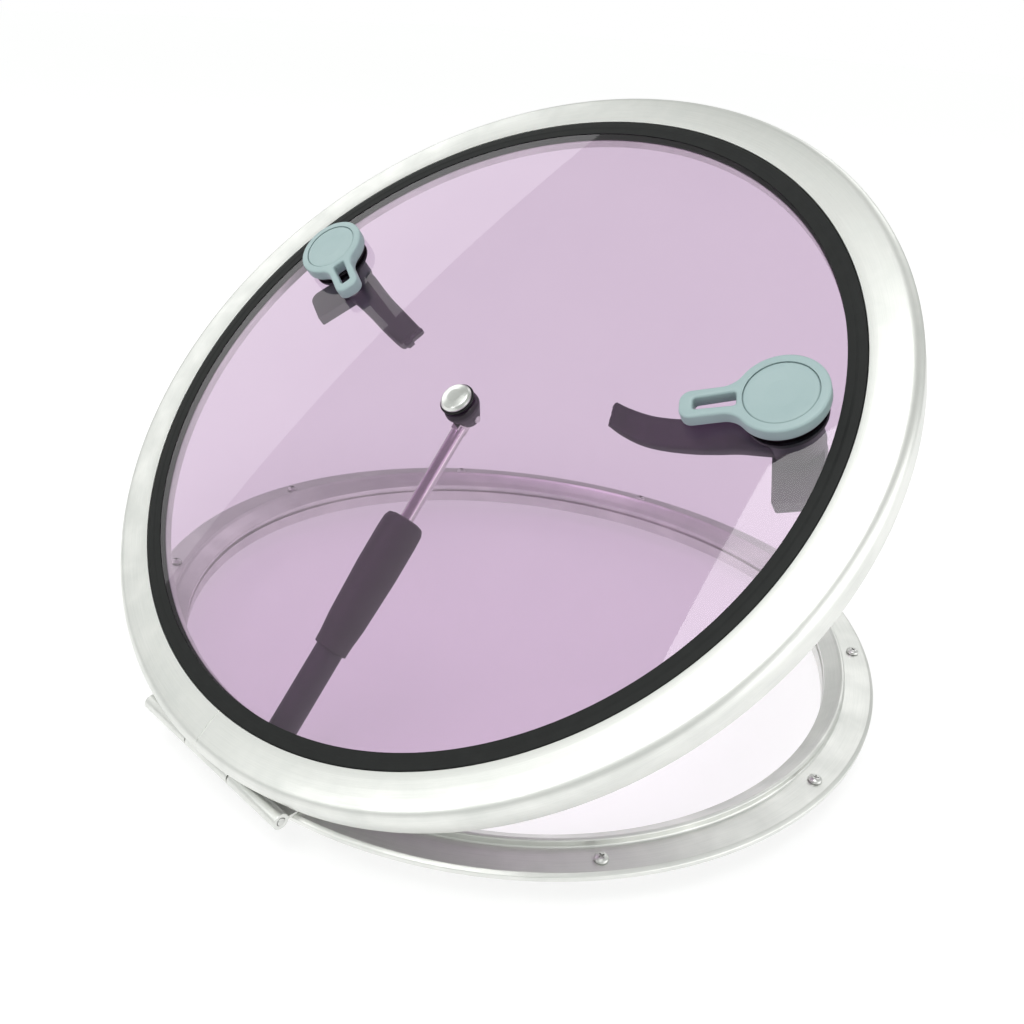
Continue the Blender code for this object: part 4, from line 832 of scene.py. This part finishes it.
# ---------------------------------------------------------------- handles, spindles, levers and dogs
# Each side's pieces, from the outer handle down through the glazing to the end screw. All but the rubber
# ring and the washer, which stay on the glazing, turn together on the spindle.
LEVER_BEARING = 240.0
INNER_LEVER_TURN = 13.0
DOG_TURN = -90.0
for side, side_name in SIDES:
    body = f"handle_{side_name}_turn"
    placed = OPEN @ handle_place(side) @ turn_about("Z", side * LEVER_BEARING)

    handle = plate(f"lever_{side_name}", [lever_outline, slot_outline], HANDLE_LOW, HANDLE_HIGH, 1.6)
    recess = turned("recess", bar(CAP_RADIUS + 0.3, HANDLE_HIGH - CAP_DEPTH, HANDLE_HIGH + 8), steps=96)
    shape_with(handle, recess)
    shape_with(handle, turned("socket", bar(SPINDLE_RADIUS + 0.4, HANDLE_LOW - 5, HANDLE_LOW + 6), steps=48))
    ease_edges(handle, 0.55, segments=3, angle=60)
    fit(handle, handle_acetal, body, "handle_plastic", f"handle_{side_name}", where=placed)

    cap = turned(f"lever_disc_{side_name}", rounded([
        (0, HANDLE_HIGH - 1.1, 0), (9, HANDLE_HIGH - 1.0, 6), (CAP_RADIUS - 3.0, HANDLE_HIGH - 0.35, 4),
        (CAP_RADIUS - 0.7, HANDLE_HIGH - 0.3, 0.8), (CAP_RADIUS, HANDLE_HIGH - 0.9, 0.5),
        (CAP_RADIUS, HANDLE_HIGH - CAP_DEPTH + 0.3, 0), (0, HANDLE_HIGH - CAP_DEPTH + 0.3, 0)]), steps=96)
    fit(cap, handle_acetal, body, "handle_plastic", f"handle_cap_{side_name}", where=placed)

    ring = turned(f"lever_ring_{side_name}", rounded([
        (24.5, 28.1, 0.6), (24.5, 26.3, 0.6), (SPINDLE_RADIUS + 0.4, 26.3, 0.2),
        (SPINDLE_RADIUS + 0.4, 28.1, 0.2)]), steps=72)
    fit(ring, black_rubber_ring, "lid", "seal_rubber", f"handle_seal_{side_name}", where=placed)

    pad = turned(f"inner_washer_{side_name}", rounded([
        (23.0, 15.7, 0.3), (23.0, 12.7, 0.8), (SPINDLE_RADIUS + 0.4, 12.7, 0.2),
        (SPINDLE_RADIUS + 0.4, 15.7, 0.2)]), steps=72)
    fit(pad, black_rubber_ring, "lid", "bedding_rubber", f"spindle_pad_{side_name}", where=placed)

    spindle = turned(f"shaft_{side_name}", rounded([
        (0, HANDLE_LOW + 5.7, 0), (SPINDLE_RADIUS, HANDLE_LOW + 5.7, 0.5),
        (SPINDLE_RADIUS, DOG_TOP + 0.3, 0.3),
        (5.0, DOG_TOP + 0.3, 0.2), (5.0, DOG_LOW + 0.3, 0.3), (2.5, DOG_LOW + 0.3, 0.2),
        (2.5, DOG_LOW + 9.0, 0.2), (0, DOG_LOW + 9.0, 0)]), steps=48)
    fit(spindle, stainless_spindle, body, "stainless_steel", f"spindle_{side_name}", where=placed)

    grip = blade(f"inner_grip_{side_name}")
    hub = turned("hub", rounded([
        (0, 12.4, 0), (HUB_RADIUS, 12.4, 1.0), (HUB_RADIUS, DOG_TOP + 0.3, 0.8),
        (0, DOG_TOP + 0.3, 0)]), 64)
    shape_with(grip, hub, "UNION")
    shape_with(grip, turned("bore", bar(SPINDLE_RADIUS + 0.4, -50, 50), steps=48))
    ease_edges(grip, 0.8, segments=3, angle=50)
    fit(grip, dark_nylon, body, "dark_plastic", f"inner_lever_{side_name}",
        where=placed @ turn_about("Z", side * INNER_LEVER_TURN))

    dog = plate(f"dog_{side_name}", [dog_outline(side)], DOG_LOW, DOG_TOP, 0.8)
    shape_with(dog, turned("bore", bar(5.3, -50, 50), steps=48))
    fit(dog, dark_nylon, body, "dark_plastic", f"latch_dog_{side_name}",
        where=placed @ turn_about("Z", side * DOG_TURN))

    thread = [(0, DOG_LOW + 8.7), (1.75, DOG_LOW + 8.7),
              *threaded(1.8, 2.2, DOG_LOW + 0.4, DOG_LOW + 8.6, 0.8), (2.0, DOG_LOW - 0.3)]
    head = rounded([(6.2, DOG_LOW - 0.3, 0.2), (6.0, DOG_LOW - 1.4, 0.8), (4.0, DOG_LOW - 2.6, 1.2),
                    (0, DOG_LOW - 2.8, 0)], facets=3)
    end_screw = turned(f"shaft_bolt_{side_name}", [Vector(point) for point in thread] + head, steps=40)
    socket_tool = turned("hex", bar(2.6, DOG_LOW - 8, DOG_LOW - 1.0), steps=6)
    shape_with(end_screw, socket_tool)
    fit(end_screw, bright_stainless, body, "stainless_steel", f"spindle_screw_{side_name}", where=placed)


# ---------------------------------------------------------------- stay: pivot under the glazing
# A spun stainless cap on a stud clamps a dark nylon fork to the glazing over a rubber washer, and a pin
# through the fork carries the rod's eye.
UPPER_PIVOT = 5.0
# Bright rings that catch the light as the cap's face curves away.
spun_stainless = drawn_lines("spun_stainless_steel", "E4E6E2", "CDCFCB", 0.26, line_mm=0.3, bump=0.12)
cap = turned("pivot_cap", rounded([
    (0, 32.3, 0), (5.0, 32.1, 3.0), (9.4, 31.2, 1.6), (11.0, 29.4, 1.0), (11.2, 28.2, 0.3),
    (STUD_RADIUS, 28.2, 0), (STUD_RADIUS, 11.5, 0.4), (0, 11.5, 0)]), steps=72)
fit(cap, spun_stainless, "lid", "stainless_steel", "stay_cap", where=OPEN)
washer = turned("pivot_washer", rounded([
    (12.2, 27.9, 0.5), (12.2, 26.3, 0.5),
    (STUD_RADIUS + 0.4, 26.3, 0.1), (STUD_RADIUS + 0.4, 27.9, 0.1)]), 64)
fit(washer, black_rubber_ring, "lid", "seal_rubber", "stay_washer", where=OPEN)

fork = turned("pivot_fork", rounded([
    (0, 15.7, 0), (12.5, 15.7, 0.4), (12.5, 13.6, 0.8), (9.6, 6.4, 2.0), (7.5, 1.5, 2.0),
    (5.2, -1.3, 1.5), (0, -2.5, 0)]), steps=64)
shape_with(fork, block("fork_slot", (-30, -3.3, -30), (30, 3.3, 10.3)))
shape_with(fork, turned("stud_bore", bar(STUD_RADIUS + 0.3, 11.2, 40), steps=40))
cross = at(0, 0, UPPER_PIVOT) @ turn_about("X", 90)
pin_bore = turned("pin_bore", bar(2.8, -30, 30), steps=32)
pin_bore.matrix_world = cross
shape_with(fork, pin_bore)
ease_edges(fork, 0.4)
fit(fork, dark_nylon, "lid", "dark_plastic", "stay_fork", where=OPEN)
pin = turned("pivot_pin", bar(2.5, -9.7, 9.7, 0.5), steps=32)
fit(pin, bright_stainless, "lid", "stainless_steel", "stay_upper_pin", where=OPEN @ cross)


# ---------------------------------------------------------------- stay: rod, tube and grip
# A ground and polished stainless rod slides through a nylon bush in a dark nylon tube. Twisting the soft
# grip clamps it. The foot's eye turns on a pin between the ears of a stainless bracket.
upper = OPEN @ Vector((0, 0, UPPER_PIVOT * MM))
FOOT_X = -233.0
FOOT_Z = -14.0
FOOT = Vector((FOOT_X * MM, 0, FOOT_Z * MM))
stay_length = (upper - FOOT).length / MM
lean = math.degrees(math.atan2(upper.x - FOOT.x, upper.z - FOOT.z))
rod_place = Matrix.Translation(upper) @ turn_about("Y", lean)
tube_place = Matrix.Translation(FOOT) @ turn_about("Y", lean)

# A mirror-like rod that picks up long streaks from the floor and lamps.
polished_rod_steel = drawn_lines("polished_stainless_rod", "E2E0DE", "D6D4D2", 0.09, line_mm=0.5, bump=0.02)
rod = turned("polished_rod", rounded([
    (0, -9.5, 0), (4.8, -9.5, 0.3), (4.8, -165.0, 0.5), (0, -165.0, 0)]), steps=64)
eye = turned("eye", bar(5.0, -3.0, 3.0, 0.3), steps=48)
eye.matrix_world = turn_about("X", 90)
shape_with(rod, eye, "UNION")
shape_with(rod, block("flat", (-5.0, -3.0, -13.0), (5.0, 3.0, 0.0)), "UNION")
eye_bore = turned("bore", bar(2.8, -20, 20), steps=32)
eye_bore.matrix_world = turn_about("X", 90)
shape_with(rod, eye_bore)
fit(rod, polished_rod_steel, "rod", "polished_steel", "stay_rod", where=rod_place)

# Waxy off-white, against the dark tube and the bright rod.
natural_nylon = moulded("natural_nylon", "E9E7DE", "DEDBD0", 0.45, grain_mm=0.8, bump=0.1)
piston = turned("piston", rounded([
    (0, -165.3, 0), (7.2, -165.3, 0.6), (7.2, -169.3, 0.2), (6.6, -169.5, 0.1), (6.6, -171.0, 0.1),
    (7.2, -171.2, 0.2), (7.2, -175.3, 0.6), (0, -175.3, 0)]), steps=48)
fit(piston, natural_nylon, "rod", "bush_plastic", "stay_piston", where=rod_place)

ROD_SHOWN = 80.6
GRIP_LENGTH = 99.0
TUBE_RADIUS = 9.6
TUBE_BORE = 7.5
TUBE_START = 16.0
grip_top = stay_length - ROD_SHOWN
tube_top = grip_top - 12.0
grip_low = grip_top - GRIP_LENGTH
tube = turned("outer_tube", bar(TUBE_RADIUS, TUBE_START, tube_top, 0.4, TUBE_BORE, 0.2), steps=64)
fit(tube, dark_nylon, "tube", "dark_plastic", "stay_tube", where=tube_place)
bush = turned("guide_bush", bar(TUBE_BORE - 0.3, tube_top - 20, tube_top, 0.3, 5.1, 0.3), steps=48)
fit(bush, natural_nylon, "tube", "bush_plastic", "stay_guide_bush", where=tube_place)

# A soft warm charcoal that spreads its highlights more than the tube does.
grip_rubber = moulded("soft_grip_elastomer", "4B494B", "424042", 0.58, grain_mm=0.7, bump=0.35, ior=1.5)
grip_skin = rounded([
    (9.0, grip_top, 1.2), (12.6, grip_top - 1.2, 2.4), (14.1, grip_top - 5.0, 4.0),
    (14.5, grip_top - 14, 8.0),
    (14.4, grip_top - 40, 14.0), (13.0, grip_top - 78, 12.0), (11.7, grip_low + 7.0, 3.0),
    (11.5, grip_low + 0.2, 0.8), (TUBE_RADIUS + 0.3, grip_low + 0.2, 0.2),
    (TUBE_RADIUS + 0.3, tube_top + 0.3, 0.2), (5.1, tube_top + 0.3, 0.2), (5.1, grip_top, 0.4)])
grip = turned("twist_grip", grip_skin, steps=72)
fit(grip, grip_rubber, "tube", "grip_rubber", "stay_grip", where=tube_place)

EYE_RADIUS = 6.8
across_pins = turn_about("X", 90)
foot_eye = turned("foot_eye", rounded([
    (0, TUBE_START + 14.0, 0), (TUBE_BORE - 0.3, TUBE_START + 14.0, 0.8),
    (TUBE_BORE - 0.3, TUBE_START - 0.3, 0.2), (TUBE_RADIUS, TUBE_START - 0.3, 0.6),
    (TUBE_RADIUS, TUBE_START - 3.9, 0.8), (0, TUBE_START - 3.9, 0)]), 64)
tongue = block("tongue", (-EYE_RADIUS, -4.0, 0.0), (EYE_RADIUS, 4.0, TUBE_START - 2.0))
shape_with(foot_eye, tongue, "UNION")
disc = turned("disc", bar(EYE_RADIUS, -4.0, 4.0), steps=64)
disc.matrix_world = across_pins
shape_with(foot_eye, disc, "UNION")
foot_bore = turned("bore", bar(2.8, -20, 20), steps=32)
foot_bore.matrix_world = across_pins
shape_with(foot_eye, foot_bore)
ease_edges(foot_eye, 0.4)
fit(foot_eye, dark_nylon, "tube", "dark_plastic", "stay_lower_eye", where=tube_place)
foot_pin = turned("foot_pin", bar(2.5, -4.3, 4.3, 0.4), steps=32)
fit(foot_pin, bright_stainless, "tube", "stainless_steel", "stay_lower_pin", where=tube_place @ across_pins)


# ---------------------------------------------------------------- stay bracket
# A small pressed stainless bracket with two ears, screwed to the inside of the spigot.
# Fine brushed lines in a duller grey than the screws that hold it.
brushed_stainless = drawn_lines("brushed_stainless_plate", "CFD0CD", "B4B5B2", 0.30, line_mm=0.45,
                                axis_turn=(0, math.radians(90), 0))
BRACKET_HALF = 18.0
EAR_INSIDE = 4.6
EAR_OUTSIDE = 7.6
bracket_back = 0.3 - math.sqrt((CLEAR_RADIUS * FLAT) ** 2 - BRACKET_HALF**2)
bracket_front = bracket_back + 3.0
bracket = block("foot_bracket", (bracket_back, -BRACKET_HALF, -24.0), (bracket_front, BRACKET_HALF, -1.0))
for side in (-1, 1):
    ends = sorted((side * EAR_INSIDE, side * EAR_OUTSIDE))
    cheek = block("cheek", (bracket_front - 1.0, ends[0], FOOT_Z - EYE_RADIUS),
                  (FOOT_X, ends[1], FOOT_Z + EYE_RADIUS))
    shape_with(bracket, cheek, "UNION")
    nose = turned("nose", bar(EYE_RADIUS, *ends), steps=64)
    nose.matrix_world = at(FOOT_X, 0, FOOT_Z) @ turn_about("X", -90)
    shape_with(bracket, nose, "UNION")
bracket_screw_y = BRACKET_HALF * 0.75
bracket_screw_z = FOOT_Z + 9.5
for side in (-1, 1):
    hole = turned("hole", bar(2.2, bracket_back - 10, bracket_front + 10), steps=32)
    hole.matrix_world = at(0, side * bracket_screw_y, bracket_screw_z) @ turn_about("Y", 90)
    shape_with(bracket, hole)
ease_edges(bracket, 0.4)
fit(bracket, brushed_stainless, "base", "stainless_steel", "stay_bracket")
for number, side in ((1, -1), (2, 1)):
    screw = pan_screw(f"bracket_bolt_{number}", 3.55, 1.95, 1.4, 1.75, bracket_front + 0.3,
                      4.5 - bracket_back, 1.5)
    fit(screw, bright_stainless, "base", "stainless_steel", f"bracket_screw_{number}",
        where=at(0, side * bracket_screw_y, bracket_screw_z) @ turn_about("Y", 90))
